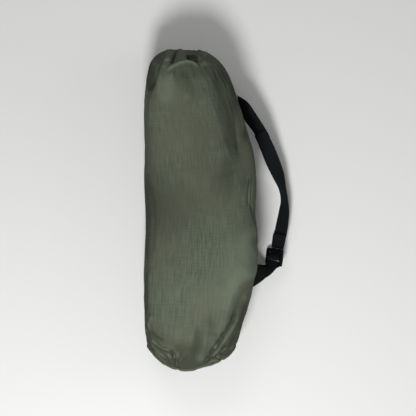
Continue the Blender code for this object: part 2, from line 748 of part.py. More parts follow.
def shoulder_strap(axis, webbing):
    route, halves = strap_frames()
    fine, fine_halves = smoothed(route, halves, 3)
    normals = face_normals(fine, fine_halves)
    strip = ribbon("strap_webbing", lifted(fine, normals, LAYER / 2), fine_halves, normals)
    put("strap_webbing", strip, webbing, axis)

    root = (UPPER_SEAM[0] + UPPER_SEAM[1]) / 2
    root_half = (UPPER_SEAM[0] - UPPER_SEAM[1]) / 2
    middle = Vector(TAB_MIDDLE[:3])
    middle_half = tilted_half(route[0] - root, TAB_MIDDLE[3])
    tab, tab_halves = smoothed([root, middle, *route[:2]], [root_half, middle_half, *halves[:2]], 3)
    tab = tab[:6] + fine[:LAP_RINGS]
    tab_halves = tab_halves[:6] + fine_halves[:LAP_RINGS]
    tab_normals = face_normals(tab, tab_halves)[:6] + normals[:LAP_RINGS]
    strip = ribbon("strap_tab_upper", lifted(tab, tab_normals, -LAYER / 2), tab_halves, tab_normals)
    put("strap_tab_upper", strip, webbing, axis)
    put("strap_tab_lower", anchor_loop(), webbing, axis)


def anchor_loop():
    """Webbing from the side seam, round the lock's rear bar, and back to the seam."""
    bars = lock_frame()[0]
    bar = in_lock(REAR_BAR_Y, 0)
    full = bars * WEBBING_WIDTH / 2
    bend = (ANCHOR_BEND[0] + ANCHOR_BEND[1]) / 2
    bend_half = (ANCHOR_BEND[0] - ANCHOR_BEND[1]) / 2
    root = (LOWER_SEAM[0] + LOWER_SEAM[1]) / 2
    root_half = (LOWER_SEAM[0] - LOWER_SEAM[1]) / 2
    away = bend - bar
    away = (away - bars * away.dot(bars)).normalized()
    start = bar + away * ANCHOR_MEET
    centres, halves = smoothed([start, bend, root], [full, bend_half, root_half], 4)
    normals = face_normals(centres, halves)
    square = (normals[0] - away * normals[0].dot(away)).normalized()
    radials = [away * cos(radians(a)) + square * sin(radians(a)) for a in ANCHOR_TURN]
    turn = [bar + radial * (REAR_BAR_RADIUS + FIT + WEBBING / 2) for radial in radials]
    loop = lifted(centres, normals, ANCHOR_LAYER / 2)[::-1] + turn + lifted(centres, normals, -ANCHOR_LAYER / 2)
    loop_normals = normals[::-1] + radials + [-normal for normal in normals]
    return ribbon("strap_tab_lower", loop, halves[::-1] + [full] * len(turn) + halves, loop_normals)


def ladder_lock(axis, plastic, webbing):
    """The buckle in its own frame, with its origin on the rear bar that it tilts about."""
    origin = in_lock(REAR_BAR_Y, 0)
    turn = Matrix(lock_frame()).transposed()
    side_width = (LOCK_WIDTH - LOCK_SLOT) / 2
    shift = (LOCK_SLOT + side_width) / 2

    def side(offset):
        return lambda u, v, h: (h + offset, u - REAR_BAR_Y, v)

    def bar(name, y, z, radius):
        turns = [2 * pi * step / 10 for step in range(10)]
        ring = [(y + radius * cos(a), z + radius * sin(a)) for a in turns]
        return extruded(name, ring, LOCK_SLOT + side_width, side(0))

    lock = put("ladder_lock", extruded("ladder_lock", SIDE_PROFILE, side_width, side(-shift)), plastic,
               axis, origin, turn)
    others = (
        extruded("side_rail", SIDE_PROFILE, side_width, side(shift)),
        bar("rear_bar", REAR_BAR_Y, 0.0, REAR_BAR_RADIUS),
        bar("centre_bar", *CENTRE_BAR, CENTRE_BAR_RADIUS),
        extruded("nose_bar", NOSE_PROFILE, LOCK_SLOT + side_width, side(0)),
    )
    for mesh in others:
        combine(lock, mesh, "UNION")

    half = lock_frame()[0] * WEBBING_WIDTH / 2
    around = CENTRE_BAR_RADIUS + WRAP_FIT + WEBBING / 2
    turned_round = [(CENTRE_BAR[0] + around * sin(radians(a)), CENTRE_BAR[1] - around * cos(radians(a)))
                    for a in WRAP_TURN]
    start = LOCK_MOUTH + FIT
    path = [(start, LOADED_LAYER), *LOADED_PATH, *turned_round, *TAIL_PATH, (start, TAIL_LAYER)]
    centres = [in_lock(*place) for place in path]
    put("strap_wrap", ribbon("strap_wrap", centres, [half] * len(centres)), webbing, axis)
    put("strap_tail", tail_mesh(), webbing, axis)


def tail_mesh():
    """The free end, lying on the long webbing. Its last stretch is folded over as a hem."""
    route, halves = strap_frames()
    fine, fine_halves = smoothed(route, halves, 8)
    fine, fine_halves = fine[::-1], fine_halves[::-1]
    centres, widths, thick = [], [], []
    travelled = 0.0
    for index, place in enumerate(fine):
        travelled += (place - fine[index - 1]).length if index else 0.0
        if travelled > TAIL_LENGTH:
            break
        hemmed = travelled > TAIL_LENGTH - TAIL_HEM
        before = fine[max(index - 1, 0)]
        after = fine[min(index + 1, len(fine) - 1)]
        face = (before - after).cross(fine_halves[index]).normalized()
        thick.append(WEBBING * 2 if hemmed else WEBBING)
        centres.append(place + face * (LAYER * 1.5 + 0.2 + (WEBBING / 2 if hemmed else 0)))
        widths.append(fine_halves[index] * 0.985)
    return ribbon("strap_tail", centres, widths, thickness=thick)


def clear_scene():
    for leftover in list(bpy.data.objects):
        bpy.data.objects.remove(leftover, do_unlink=True)


def build():
    clear_scene()
    olive = finish("olive_cloth", (0.105, 0.115, 0.085), 0.85)
    trim = finish("dark_trim", (0.02, 0.022, 0.022), 0.8)
    black_webbing = finish("black_webbing", (0.011, 0.014, 0.015), 0.75)
    black_plastic = finish("black_plastic", (0.012, 0.012, 0.013), 0.45)
    bed_cloth = finish("bed_cloth", (0.03, 0.031, 0.033), 0.8)
    alloy = finish("anodised_tube", (0.16, 0.16, 0.165), 0.35, 1.0)
    elastic = finish("shock_cord", (0.03, 0.03, 0.03), 0.7)

    bag_axis = axis_empty("carry_bag_origin", (0, 0, 0))
    cot_axis = axis_empty("cot_slide_axis", (0, 0, 60))
    strap_axis = axis_empty("strap_swing_axis", (UPPER_SEAM[0] + UPPER_SEAM[1]) / 2)
    lock_axis = axis_empty("ladder_lock_tilt_axis", in_lock(REAR_BAR_Y, 0))

    carry_bag(bag_axis, olive, trim)
    bed_roll(cot_axis, bed_cloth)
    side_rails(cot_axis, alloy, black_plastic, elastic)
    legs(cot_axis, alloy, black_plastic, elastic)
    shoulder_strap(strap_axis, black_webbing)
    ladder_lock(lock_axis, black_plastic, black_webbing)


build()
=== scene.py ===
"""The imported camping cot's looks: olive carry bag, shoulder strap, and the rolled cot inside."""
import json
from math import cos, pi, radians, sin

import bmesh
import bpy
import numpy as np
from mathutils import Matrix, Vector


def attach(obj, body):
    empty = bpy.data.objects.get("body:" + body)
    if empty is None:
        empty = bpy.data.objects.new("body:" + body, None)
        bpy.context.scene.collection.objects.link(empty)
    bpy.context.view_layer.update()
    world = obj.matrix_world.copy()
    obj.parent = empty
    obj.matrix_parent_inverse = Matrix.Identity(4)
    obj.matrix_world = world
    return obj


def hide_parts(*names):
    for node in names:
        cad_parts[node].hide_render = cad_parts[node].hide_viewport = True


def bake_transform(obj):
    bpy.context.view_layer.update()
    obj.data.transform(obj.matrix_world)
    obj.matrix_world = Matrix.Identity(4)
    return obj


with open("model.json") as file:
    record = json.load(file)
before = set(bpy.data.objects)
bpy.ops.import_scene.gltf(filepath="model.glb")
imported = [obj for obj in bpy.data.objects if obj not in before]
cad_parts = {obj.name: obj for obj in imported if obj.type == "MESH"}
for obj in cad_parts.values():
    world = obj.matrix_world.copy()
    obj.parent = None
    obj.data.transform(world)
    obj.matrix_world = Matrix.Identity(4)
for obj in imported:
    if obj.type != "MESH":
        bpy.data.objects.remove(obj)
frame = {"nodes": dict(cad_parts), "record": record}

MM = 0.001
# A photograph pixel in millimetres, the photograph point over the origin, and the photograph's middle
PIXEL = 1.584
PHOTO_ORIGIN = (201.0, 210.0)
PHOTO_MIDDLE = (208.0, 208.0)
UP = Vector((0, 0, 1))
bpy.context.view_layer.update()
nodes = frame["nodes"]


# Materials

# Rubbing and painted shade on the cloth run from darkest in a crease, through even on flat cloth, to 1 on
# a ridge: the creases' darkening is painted shade, and the ridges' paling is rubbing and painted highlight
DARKEST = -0.15
EVEN = 0.5
# Woven cloth: slubs and patches to the metre, and how strongly they, the creases' painted shade and the
# ridges' rubbing and painted highlight show
SLUBS_ALONG = (400.0, 34.0, 1.0)
SLUBS_ACROSS = (40.0, 420.0, 1.0)
ALONG_SHARE = 0.7
PATCH_SCALE = 9.0
SLUB_RANGE = (0.36, 0.64)
PATCH_RANGE = (0.38, 0.62)
PATCH_SHARE = 0.6
CREASE_SHADE_SHARE = 0.72
RIDGE_SHARE = 0.6
RIDGE_PALER = 1.4
CLOTH_GLOSS = 0.15
BLACK_GLOSS = 0.08
# Webbing's ribs and yarns in metres, its fuzz and the thread's twists to the metre
RIB_SPACING = 0.0021
YARN_SPACING = 0.0016
FUZZ = (900.0, 300.0, 1.0)
THREAD_TWIST = 320.0
BLOTCH_RANGE = (0.3, 0.7)


def new_tree(name, family, inputs, outputs):
    """An empty node group. Each input is (name, socket kind, default), and each output (name, kind)."""
    tree = bpy.data.node_groups.new(name, family + "NodeTree")
    for label, kind, default in inputs:
        socket = tree.interface.new_socket(label, in_out="INPUT", socket_type="NodeSocket" + kind)
        if default is not None:
            socket.default_value = default
    for label, kind in outputs:
        tree.interface.new_socket(label, in_out="OUTPUT", socket_type="NodeSocket" + kind)
    return tree, tree.nodes.new("NodeGroupInput"), tree.nodes.new("NodeGroupOutput")


def join(tree, *pairs):
    for output, socket in pairs:
        tree.links.new(output, socket)


def given_values(node, **values):
    for label, value in values.items():
        node.inputs[label.replace("_", " ")].default_value = value


def math(tree, operation, first, second=None, clamp=False):
    node = tree.nodes.new("ShaderNodeMath")
    node.operation = operation
    node.use_clamp = clamp
    for socket, value in zip(node.inputs, (first, second)):
        if value is None:
            continue
        if isinstance(value, (int, float)):
            socket.default_value = value
        else:
            tree.links.new(value, socket)
    return node.outputs[0]


def times(tree, first, second):
    return math(tree, "MULTIPLY", first, second)


def plus(tree, first, second):
    return math(tree, "ADD", first, second)


def remap(tree, value, low, high, to_low=0.0, to_high=1.0):
    node = tree.nodes.new("ShaderNodeMapRange")
    node.interpolation_type = "SMOOTHSTEP"
    given_values(node, From_Min=low, From_Max=high, To_Min=to_low, To_Max=to_high)
    tree.links.new(value, node.inputs["Value"])
    return node.outputs["Result"]


def stretched(tree, vector, scale, slant=0.0):
    node = tree.nodes.new("ShaderNodeMapping")
    given_values(node, Scale=scale, Rotation=(0.0, 0.0, slant))
    tree.links.new(vector, node.inputs["Vector"])
    return node.outputs["Vector"]


def noise(tree, vector, scale, detail=2.0, roughness=0.5):
    node = tree.nodes.new("ShaderNodeTexNoise")
    given_values(node, Scale=scale, Detail=detail, Roughness=roughness)
    tree.links.new(vector, node.inputs["Vector"])
    return node.outputs["Fac"]


def plain_weave_group():
    """Over-and-under threads on a metre-scaled map, with slubs along and across, and soft patches."""
    group, given, made = new_tree("plain_weave", "Shader",
                                  [("Vector", "Vector", None), ("Threads Per Metre", "Float", 900.0)],
                                  [("Height", "Float"), ("Slubs", "Float"), ("Patches", "Float")])
    vector = given.outputs["Vector"]
    parts = group.nodes.new("ShaderNodeSeparateXYZ")
    turn = times(group, given.outputs["Threads Per Metre"], pi)
    across = times(group, parts.outputs["X"], turn)
    along = times(group, parts.outputs["Y"], turn)
    weft = math(group, "ABSOLUTE", math(group, "SINE", across))
    warp = math(group, "ABSOLUTE", math(group, "SINE", along))
    over = times(group, math(group, "SINE", across), math(group, "SINE", along))
    threads = times(group, plus(group, weft, warp), 0.5)
    height = plus(group, times(group, threads, 0.6), times(group, over, 0.4))
    lengthwise = noise(group, stretched(group, vector, SLUBS_ALONG), 1.0)
    crosswise = noise(group, stretched(group, vector, SLUBS_ACROSS), 1.0)
    slubs = plus(group, times(group, lengthwise, ALONG_SHARE), times(group, crosswise, 1 - ALONG_SHARE))
    patches = noise(group, vector, PATCH_SCALE, 5.0, 0.68)
    join(group, (vector, parts.inputs[0]), (height, made.inputs["Height"]),
         (slubs, made.inputs["Slubs"]), (patches, made.inputs["Patches"]))
    return group


def webbing_weave_group():
    """Ribs across a strip of webbing, and a chevron along it. X runs across and Y along, in metres."""
    group, given, made = new_tree("webbing_weave", "Shader",
                                  [("Vector", "Vector", None), ("Rib Spacing", "Float", RIB_SPACING)],
                                  [("Height", "Float"), ("Fuzz", "Float")])
    parts = group.nodes.new("ShaderNodeSeparateXYZ")
    turn = math(group, "DIVIDE", 2 * pi, given.outputs["Rib Spacing"])
    zigzag = math(group, "PINGPONG", parts.outputs["X"], YARN_SPACING)
    ribs = math(group, "SINE", times(group, plus(group, parts.outputs["Y"], zigzag), turn))
    yarns = math(group, "SINE", times(group, parts.outputs["X"], 2 * pi / YARN_SPACING))
    height = plus(group, times(group, ribs, 0.6), times(group, yarns, 0.4))
    fuzz = noise(group, stretched(group, given.outputs["Vector"], FUZZ), 1.0, 3.0, 0.6)
    join(group, (given.outputs["Vector"], parts.inputs[0]), (height, made.inputs["Height"]),
         (fuzz, made.inputs["Fuzz"]))
    return group


def handling_group():
    """Faint blotches and a fine grain on hard parts, from the object's own coordinates."""
    group, given, made = new_tree("handling_marks", "Shader",
                                  [("Vector", "Vector", None), ("Scale", "Float", 120.0)],
                                  [("Blotches", "Float"), ("Grain", "Float")])
    vector, scale = given.outputs["Vector"], given.outputs["Scale"]
    wide = group.nodes.new("ShaderNodeTexNoise")
    fine = group.nodes.new("ShaderNodeTexNoise")
    given_values(wide, Detail=5.0)
    join(group, (vector, wide.inputs["Vector"]), (scale, wide.inputs["Scale"]),
         (vector, fine.inputs["Vector"]), (times(group, scale, 18.0), fine.inputs["Scale"]),
         (wide.outputs["Fac"], made.inputs["Blotches"]), (fine.outputs["Fac"], made.inputs["Grain"]))
    return group


plain_weave = plain_weave_group()
webbing_weave = webbing_weave_group()
handling_marks = handling_group()


def shader_of(name):
    """A material, its tree and its shader."""
    material = bpy.data.materials.new(name)
    material.use_nodes = True
    return material, material.node_tree, material.node_tree.nodes["Principled BSDF"]


def placed(tree, group, **values):
    node = tree.nodes.new("ShaderNodeGroup")
    node.node_tree = group
    given_values(node, **values)
    return node


def coordinates(tree, output):
    return tree.nodes.new("ShaderNodeTexCoord").outputs[output]


def mixed(tree, share, first, second):
    node = tree.nodes.new("ShaderNodeMix")
    node.data_type = "RGBA"
    tree.links.new(share, node.inputs["Factor"])
    for socket, colour in ((node.inputs["A"], first), (node.inputs["B"], second)):
        if isinstance(colour, tuple):
            socket.default_value = (*colour, 1)
        else:
            tree.links.new(colour, socket)
    return node.outputs["Result"]


def bumped(tree, shader, height, distance, strength=1.0):
    bump = tree.nodes.new("ShaderNodeBump")
    given_values(bump, Distance=distance, Strength=strength)
    join(tree, (height, bump.inputs["Height"]), (bump.outputs["Normal"], shader.inputs["Normal"]))


def woven_material(name, first, second, third, threads=900.0, bump=0.00025, roughness=0.86, worn_and_lit=False,
                   slant=0.0):
    """Woven cloth: slubs mix the first two colours, and wide patches bring in the third.

    On cloth with rubbing and painted light, the mesh's attribute makes ridges paler, as rubbing and
    painted highlight, and creases darker, as painted shade, with spots of painted light and shade on top.
    A braided cord is the same weave laid at a slant.
    """
    material, tree, shader = shader_of(name)
    weave = placed(tree, plain_weave, Threads_Per_Metre=threads)
    laid = stretched(tree, coordinates(tree, "UV"), (1.0, 1.0, 1.0), slant)
    tree.links.new(laid, weave.inputs["Vector"])
    slubs = remap(tree, weave.outputs["Slubs"], *SLUB_RANGE)
    patches = remap(tree, weave.outputs["Patches"], *PATCH_RANGE)
    yarn = mixed(tree, slubs, first, second)
    colour = mixed(tree, times(tree, patches, PATCH_SHARE), yarn, third)
    if worn_and_lit:
        # Painted shade darkens the creases; the ridges turn paler from rubbing and painted highlight
        wear_and_light = tree.nodes.new("ShaderNodeAttribute")
        wear_and_light.attribute_name = "wear_and_painted_light"
        low = remap(tree, wear_and_light.outputs["Fac"], DARKEST, EVEN, 1.3, 0.0)
        high = remap(tree, wear_and_light.outputs["Fac"], EVEN, 1.0)
        crease_shade = tuple((a + b) * 0.25 for a, b in zip(first, third))
        pale = tuple(channel * RIDGE_PALER for channel in second)
        colour = mixed(tree, times(tree, low, CREASE_SHADE_SHARE), colour, crease_shade)
        colour = mixed(tree, times(tree, high, RIDGE_SHARE), colour, pale)
    tree.links.new(colour, shader.inputs["Base Color"])
    given_values(shader, Roughness=roughness, Specular_IOR_Level=CLOTH_GLOSS)
    height = plus(tree, weave.outputs["Height"], times(tree, slubs, 0.8))
    bumped(tree, shader, height, bump)
    return material


def webbing_material():
    material, tree, shader = shader_of("black_webbing_ribbed")
    weave = placed(tree, webbing_weave, Rib_Spacing=RIB_SPACING)
    tree.links.new(coordinates(tree, "UV"), weave.inputs["Vector"])
    fuzz = remap(tree, weave.outputs["Fuzz"], 0.35, 0.7)
    high = remap(tree, weave.outputs["Height"], -0.7, 0.8)
    # Raised ribs painted lighter, a painted highlight, mixed with random fuzz
    worn_and_lit = times(tree, plus(tree, high, fuzz), 0.5)
    colour = mixed(tree, worn_and_lit, (0.0030, 0.0044, 0.0048), (0.0092, 0.0116, 0.0122))
    tree.links.new(colour, shader.inputs["Base Color"])
    given_values(shader, Roughness=0.72, Specular_IOR_Level=BLACK_GLOSS)
    bumped(tree, shader, weave.outputs["Height"], 0.0003)
    return material


def moulded_material(name, colour, lighter, roughness):
    material, tree, shader = shader_of(name)
    marks = placed(tree, handling_marks, Scale=140.0)
    tree.links.new(coordinates(tree, "Object"), marks.inputs["Vector"])
    blotches = remap(tree, marks.outputs["Blotches"], 0.4, 0.65)
    rough = remap(tree, marks.outputs["Blotches"], *BLOTCH_RANGE, roughness - 0.07, roughness + 0.08)
    join(tree, (mixed(tree, blotches, colour, lighter), shader.inputs["Base Color"]),
         (rough, shader.inputs["Roughness"]))
    given_values(shader, Specular_IOR_Level=BLACK_GLOSS)
    bumped(tree, shader, marks.outputs["Grain"], 0.00008, 0.6)
    return material


def anodised_material():
    material, tree, shader = shader_of("dark_anodised_tube")
    marks = placed(tree, handling_marks, Scale=60.0)
    drawn = stretched(tree, coordinates(tree, "Object"), (6.0, 0.25, 6.0))
    tree.links.new(drawn, marks.inputs["Vector"])
    streaks = remap(tree, marks.outputs["Grain"], *BLOTCH_RANGE)
    colour = mixed(tree, streaks, (0.13, 0.13, 0.135), (0.2, 0.2, 0.205))
    rough = remap(tree, marks.outputs["Blotches"], *BLOTCH_RANGE, 0.28, 0.42)
    join(tree, (colour, shader.inputs["Base Color"]), (rough, shader.inputs["Roughness"]))
    given_values(shader, Metallic=1.0)
    bumped(tree, shader, marks.outputs["Grain"], 0.00003, 0.5)
    return material


def thread_material(name, colour, fleck):
    """Twisted sewing thread."""
    material, tree, shader = shader_of(name)
    wave = tree.nodes.new("ShaderNodeTexWave")
    wave.bands_direction = "DIAGONAL"
    given_values(wave, Scale=THREAD_TWIST)
    join(tree, (coordinates(tree, "Object"), wave.inputs["Vector"]),
         (mixed(tree, wave.outputs["Fac"], colour, fleck), shader.inputs["Base Color"]))
    given_values(shader, Roughness=0.75)
    bumped(tree, shader, wave.outputs["Fac"], 0.0002)
    return material


olive = woven_material("olive_bag_cloth", (0.0620, 0.0755, 0.051), (0.0915, 0.109, 0.079),
                       (0.092, 0.094, 0.066), worn_and_lit=True)
tape = woven_material("olive_seam_tape", (0.068, 0.081, 0.058), (0.097, 0.110, 0.080),
                      (0.089, 0.093, 0.068), 1300.0)
thread = thread_material("olive_sewing_thread", (0.075, 0.085, 0.062), (0.11, 0.122, 0.092))
webbing = webbing_material()
black_thread = thread_material("black_sewing_thread", (0.0012, 0.0015, 0.0017), (0.0032, 0.0038, 0.0042))
bed = woven_material("black_bed_cloth", (0.018, 0.0185, 0.02), (0.034, 0.035, 0.037),
                     (0.026, 0.027, 0.029), 700.0)
plastic = moulded_material("black_moulded_plastic", (0.0014, 0.0018, 0.0020), (0.0030, 0.0034, 0.0036),
                           0.62)
alloy = anodised_material()
elastic = woven_material("black_shock_cord", (0.012, 0.012, 0.013), (0.05, 0.05, 0.052),
                         (0.02, 0.02, 0.021), 2600.0, 0.0003, 0.7, slant=pi / 4)
drawcord = woven_material("dark_drawcord", (0.014, 0.016, 0.015), (0.03, 0.033, 0.031),
                          (0.02, 0.022, 0.021), 1900.0, 0.0003, 0.75, slant=pi / 4)


# Carry bag: the stations of the source, in millimetres

BAG_STATIONS = (
    (-214.0, 37.0, -85.0, 54.5, 14.0, 104.0),
    (-206.0, 30.0, -87.0, 58.5, 5.0, 110.0),
    (-192.0, 18.0, -88.7, 62.5, -1.0, 115.0),
    (-172.0, 8.0, -89.0, 68.5, -5.0, 119.0),
    (-142.0, 0.0, -89.0, 77.5, -6.0, 122.0),
    (-100.0, 0.0, -89.0, 85.5, -6.0, 125.0),
    (-55.0, 0.0, -89.0, 88.7, -6.0, 125.0),
    (0.0, 0.0, -89.0, 86.5, -6.0, 124.5),
    (45.0, 0.0, -89.0, 88.7, -6.0, 125.0),
    (95.0, 0.0, -89.0, 82.4, -6.0, 125.0),
    (127.0, 0.0, -89.0, 73.7, -6.0, 124.0),
    (158.0, 0.0, -89.0, 63.4, -5.0, 122.0),
    (190.0, 0.0, -87.5, 53.9, -1.0, 119.0),
    (206.0, 0.0, -86.5, 47.5, 3.0, 116.0),
    (219.0, 0.0, -84.0, 41.2, 7.0, 110.0),
    (231.0, 0.0, -80.5, 33.0, 13.0, 102.0),
    (241.0, 0.0, -74.0, 23.0, 20.0, 92.0),
    (248.5, 0.0, -65.0, 10.0, 27.0, 82.0),
    (254.0, 0.0, -51.5, -3.0, 34.0, 74.0),
)
MOUTH = (-27.0, 54.0)
HEM_Y = 248.0
HEM_RING = 17.0
HEM_ROLL = 3.9
HEM_TURNS = (62, 85, 110, 135, 160, 185, 210, 235, 260, 285, 300)
COLUMNS = 300
ROWS = 268
CLOTH = 1.2
CLOTH_TOP = 126.5
INNER_STEP = 6
SQUARENESS = 2.4
BOXIER = 0.9
MEAN_GIRTH_RADIUS = 78.0
DEEPEST_DENT = -4.5
SUNK = 0.6
# Where things start and where they are full: along Y for the cloth's slack at the base and the mouth,
# the ends' finer slack and the limit on dents, and by the normal's Z for the underside, the folds and
# the painted light and shade
SLACK_FROM_BASE = (-215, -175)
SLACK_FROM_MOUTH = (250, 220)
TOWARDS_ENDS = (150, 210)
DENTS_HELD = (195, 183)
UNDERSIDE = (0.55, 0.15)
TOP_FOLDS = (-0.05, 0.3)
PAINTED_LIGHT_ON_TOP = (0, 0.3)
OFF_GROUND = (0, 12)
# Slack: height, how often it repeats round the bag and along it, seed, and whether it is for the ends
SLACK = (
    (0.5, 1, 1.0, 21, False),
    (0.2, 3, 2.6, 22, False),
    (0.28, 7, 5.0, 23, True),
)
SEAM_REACH_ROWS = 16.0
RIDGE_HEIGHT = 2.4
BLUR_PASSES = 10
# Where rows lie closer together along the bag: how much more, the middle as a share, and its reach
CLOSER_ROWS = ((1.5, 0.08, 0.12), (1.8, 0.93, 0.1))
# How boxy the left side is, against the place along Y
BOXY_AT = (-214, -190, -120, -60, 0, 60, 120, 170, 215)
BOXY = (0, 0.7, 1, 0.3, 0.1, 0.7, 1, 0.9, 0)

# Folds of the top, seen from above: photograph points, height, then for the left and the right of
# the line as it runs, its reach and how soft it is, from 1, a crease, to 2, a swell
FOLDS = (
    (((164.5, 53), (160.0, 65), (156.8, 77), (154.2, 90), (152.3, 104), (151.0, 130)),
     3.4, (24.0, 2.0), (5.5, 1.1)),
    (((165.5, 49), (163.4, 57), (159.6, 68), (155.6, 80), (153.0, 94)), -7.6, (3.2, 1.3), (7.0, 1.6)),
    (((157.5, 54), (152.5, 67), (149.0, 80)), 2.4, (3.0, 1.5), (3.5, 1.5)),
    (((176.8, 48), (175.0, 55), (172.6, 62), (170.5, 67)), -6.0, (3.4, 1.1), (2.6, 1.1)),
    (((169.5, 51), (168.0, 58), (168.5, 64)), 3.0, (5.0, 1.7), (5.0, 1.7)),
    (((180.0, 48), (180.8, 53), (178.5, 58)), 1.0, (4.0, 1.6), (4.0, 1.6)),
    (((186.5, 54.5), (189.5, 58.2), (193.5, 60.2), (198.5, 63.0)), -12.0, (2.8, 1.5), (3.0, 1.4)),
    (((186.5, 52.6), (192.0, 54.6), (198.0, 58.4), (200.5, 62.5)), 2.4, (2.6, 1.5), (1.8, 1.3)),
    (((168.0, 73.6), (170.8, 71.2), (175, 68.2), (180, 65.4), (186.5, 64.0), (192.5, 64.8),
      (196.5, 67.4), (198.6, 70.0)), 4.4, (3.2, 1.3), (2.0, 1.3)),
    (((203.4, 50), (203.6, 58), (204.3, 69)), 3.4, (9.0, 1.2), (5.0, 1.6)),
    (((203.0, 60), (203.6, 70), (204.8, 80), (208.0, 94), (213.4, 110), (219.0, 130),
      (225.0, 150), (234.0, 172)), 4.4, (12.0, 1.1), (26.0, 2.0)),
    (((211.0, 60), (216.0, 78), (222.5, 94), (228.5, 110), (233.5, 128), (238.0, 148), (242.0, 166)),
     -2.6, (8.0, 1.8), (8.0, 1.8)),
    (((226.6, 93.6), (231.9, 106), (234.5, 116), (237.0, 146), (238.5, 160)),
     -1.2, (2.4, 1.2), (3.0, 1.3)),
    (((227.0, 84), (235.0, 101), (242.0, 120), (247.5, 140), (250.0, 160), (250.5, 176)),
     1.2, (6.0, 1.6), (4.0, 1.4)),
    (((253.0, 172), (251.2, 190), (250.5, 205), (253.0, 213), (254.5, 226)),
     -2.8, (1.9, 1.15), (2.4, 1.15)),
    (((250.0, 176), (248.2, 192), (247.6, 208)), -2.0, (1.7, 1.1), (1.9, 1.1)),
    (((251.5, 180), (249.8, 195), (249.2, 207)), 1.4, (1.2, 1.3), (1.2, 1.3)),
    (((256.5, 261.5), (250.5, 267.5), (244.0, 273.5), (236.0, 282.0), (230.0, 292.5),
      (227.0, 304), (224.5, 318), (219.0, 334)), 6.0, (13.0, 1.1), (22.0, 2.0)),
    (((255.0, 274), (247.0, 283), (240.5, 295), (237.0, 308)), -2.0, (6.0, 1.6), (6.0, 1.6)),
    (((247.0, 286), (243.5, 300), (238.5, 318), (233.0, 336)), 2.0, (5.0, 1.6), (4.0, 1.5)),
    (((238.0, 301), (234.8, 311), (230.8, 320), (225.0, 331), (219.7, 341), (212.4, 352), (207.0, 363)),
     -4.4, (3.6, 1.8), (4.0, 1.8)),
    (((239.0, 308), (234.0, 321), (227.0, 333), (219.5, 345), (213.0, 356)),
     2.8, (3.4, 1.5), (2.6, 1.4)),
    (((238.0, 330), (233.5, 339), (226.5, 348), (220.5, 356)), -3.2, (3.0, 1.8), (3.0, 1.8)),
    (((240.0, 326), (236.0, 338), (229.5, 349)), 1.6, (3.0, 1.5), (3.0, 1.5)),
    (((228.0, 345), (222.0, 351), (213.5, 356)), -2.0, (1.6, 1.1), (1.6, 1.1)),
    (((204.5, 363.5), (210.0, 358.9), (217.0, 356.6), (225.0, 359.0)), -5.0, (1.5, 1.05), (1.9, 1.05)),
    (((205.0, 366.0), (211.0, 361.8), (218.5, 360.0)), 2.4, (1.6, 1.4), (1.6, 1.4)),
    (((171.5, 347), (174.0, 355), (176.3, 361), (178.8, 369)), -5.6, (1.7, 1.05), (1.5, 1.05)),
    (((168.0, 350), (170.5, 358), (173.8, 366)), 1.1, (2.6, 1.6), (2.6, 1.6)),
    (((178.0, 348), (180.3, 358), (182.5, 367)), 1.2, (3.4, 1.6), (3.4, 1.6)),
    (((165.0, 345), (171.0, 351), (175.5, 358.5)), -2.2, (1.5, 1.1), (1.5, 1.1)),
    (((182.5, 350), (180.0, 355.5), (177.0, 361)), -2.0, (1.4, 1.1), (1.4, 1.1)),
    (((186.0, 354), (182.0, 359.5), (178.0, 364)), -1.5, (1.3, 1.1), (1.3, 1.1)),
    (((163.0, 351), (169.0, 356), (175.0, 361.5)), -1.6, (1.4, 1.1), (1.4, 1.1)),
    (((144.5, 334), (149.0, 343.5), (154.5, 350.5), (162.0, 358.0), (172.0, 364.8)),
     -5.0, (1.7, 1.05), (1.7, 1.05)),
    (((147.5, 335), (152.0, 342.2), (158.5, 349.2), (168.0, 356.4)), 1.8, (2.2, 1.5), (2.2, 1.5)),
    (((149.5, 335), (155.5, 341.5), (163.0, 346.5), (172.0, 349.5)), -2.6, (1.6, 1.1), (2.2, 1.2)),
    (((150.0, 327), (157.0, 334), (165.0, 338)), -1.2, (2.2, 1.2), (2.6, 1.3)),
    (((169.0, 70.6), (175.0, 80), (181.0, 88), (186.0, 95), (190.0, 104)),
     1.8, (7.0, 1.15), (14.0, 2.0)),
    (((207.5, 318), (205.5, 338), (203.0, 352), (199.5, 366)), 1.9, (6.0, 1.8), (9.0, 1.9)),
    (((197.0, 322), (196.0, 340), (194.0, 354), (191.0, 367)), -1.5, (9.0, 1.8), (9.0, 1.8)),
    (((187.0, 351), (187.5, 360), (188.5, 369)), -0.8, (2.4, 1.5), (2.4, 1.5)),
    (((147.5, 172), (152.5, 195), (155.0, 220), (153.0, 246), (149.5, 262)),
     -1.7, (4.0, 1.6), (8.0, 1.6)),
    (((153.0, 312), (150.0, 322), (147.5, 331)), 2.6, (4.0, 1.6), (4.0, 1.4)),
    (((146.0, 336), (151.0, 340), (158.0, 341)), -1.6, (1.8, 1.2), (1.8, 1.2)),
    (((150.5, 268), (149.0, 288), (150.0, 306)), 1.4, (4.0, 1.6), (3.0, 1.4)),
)
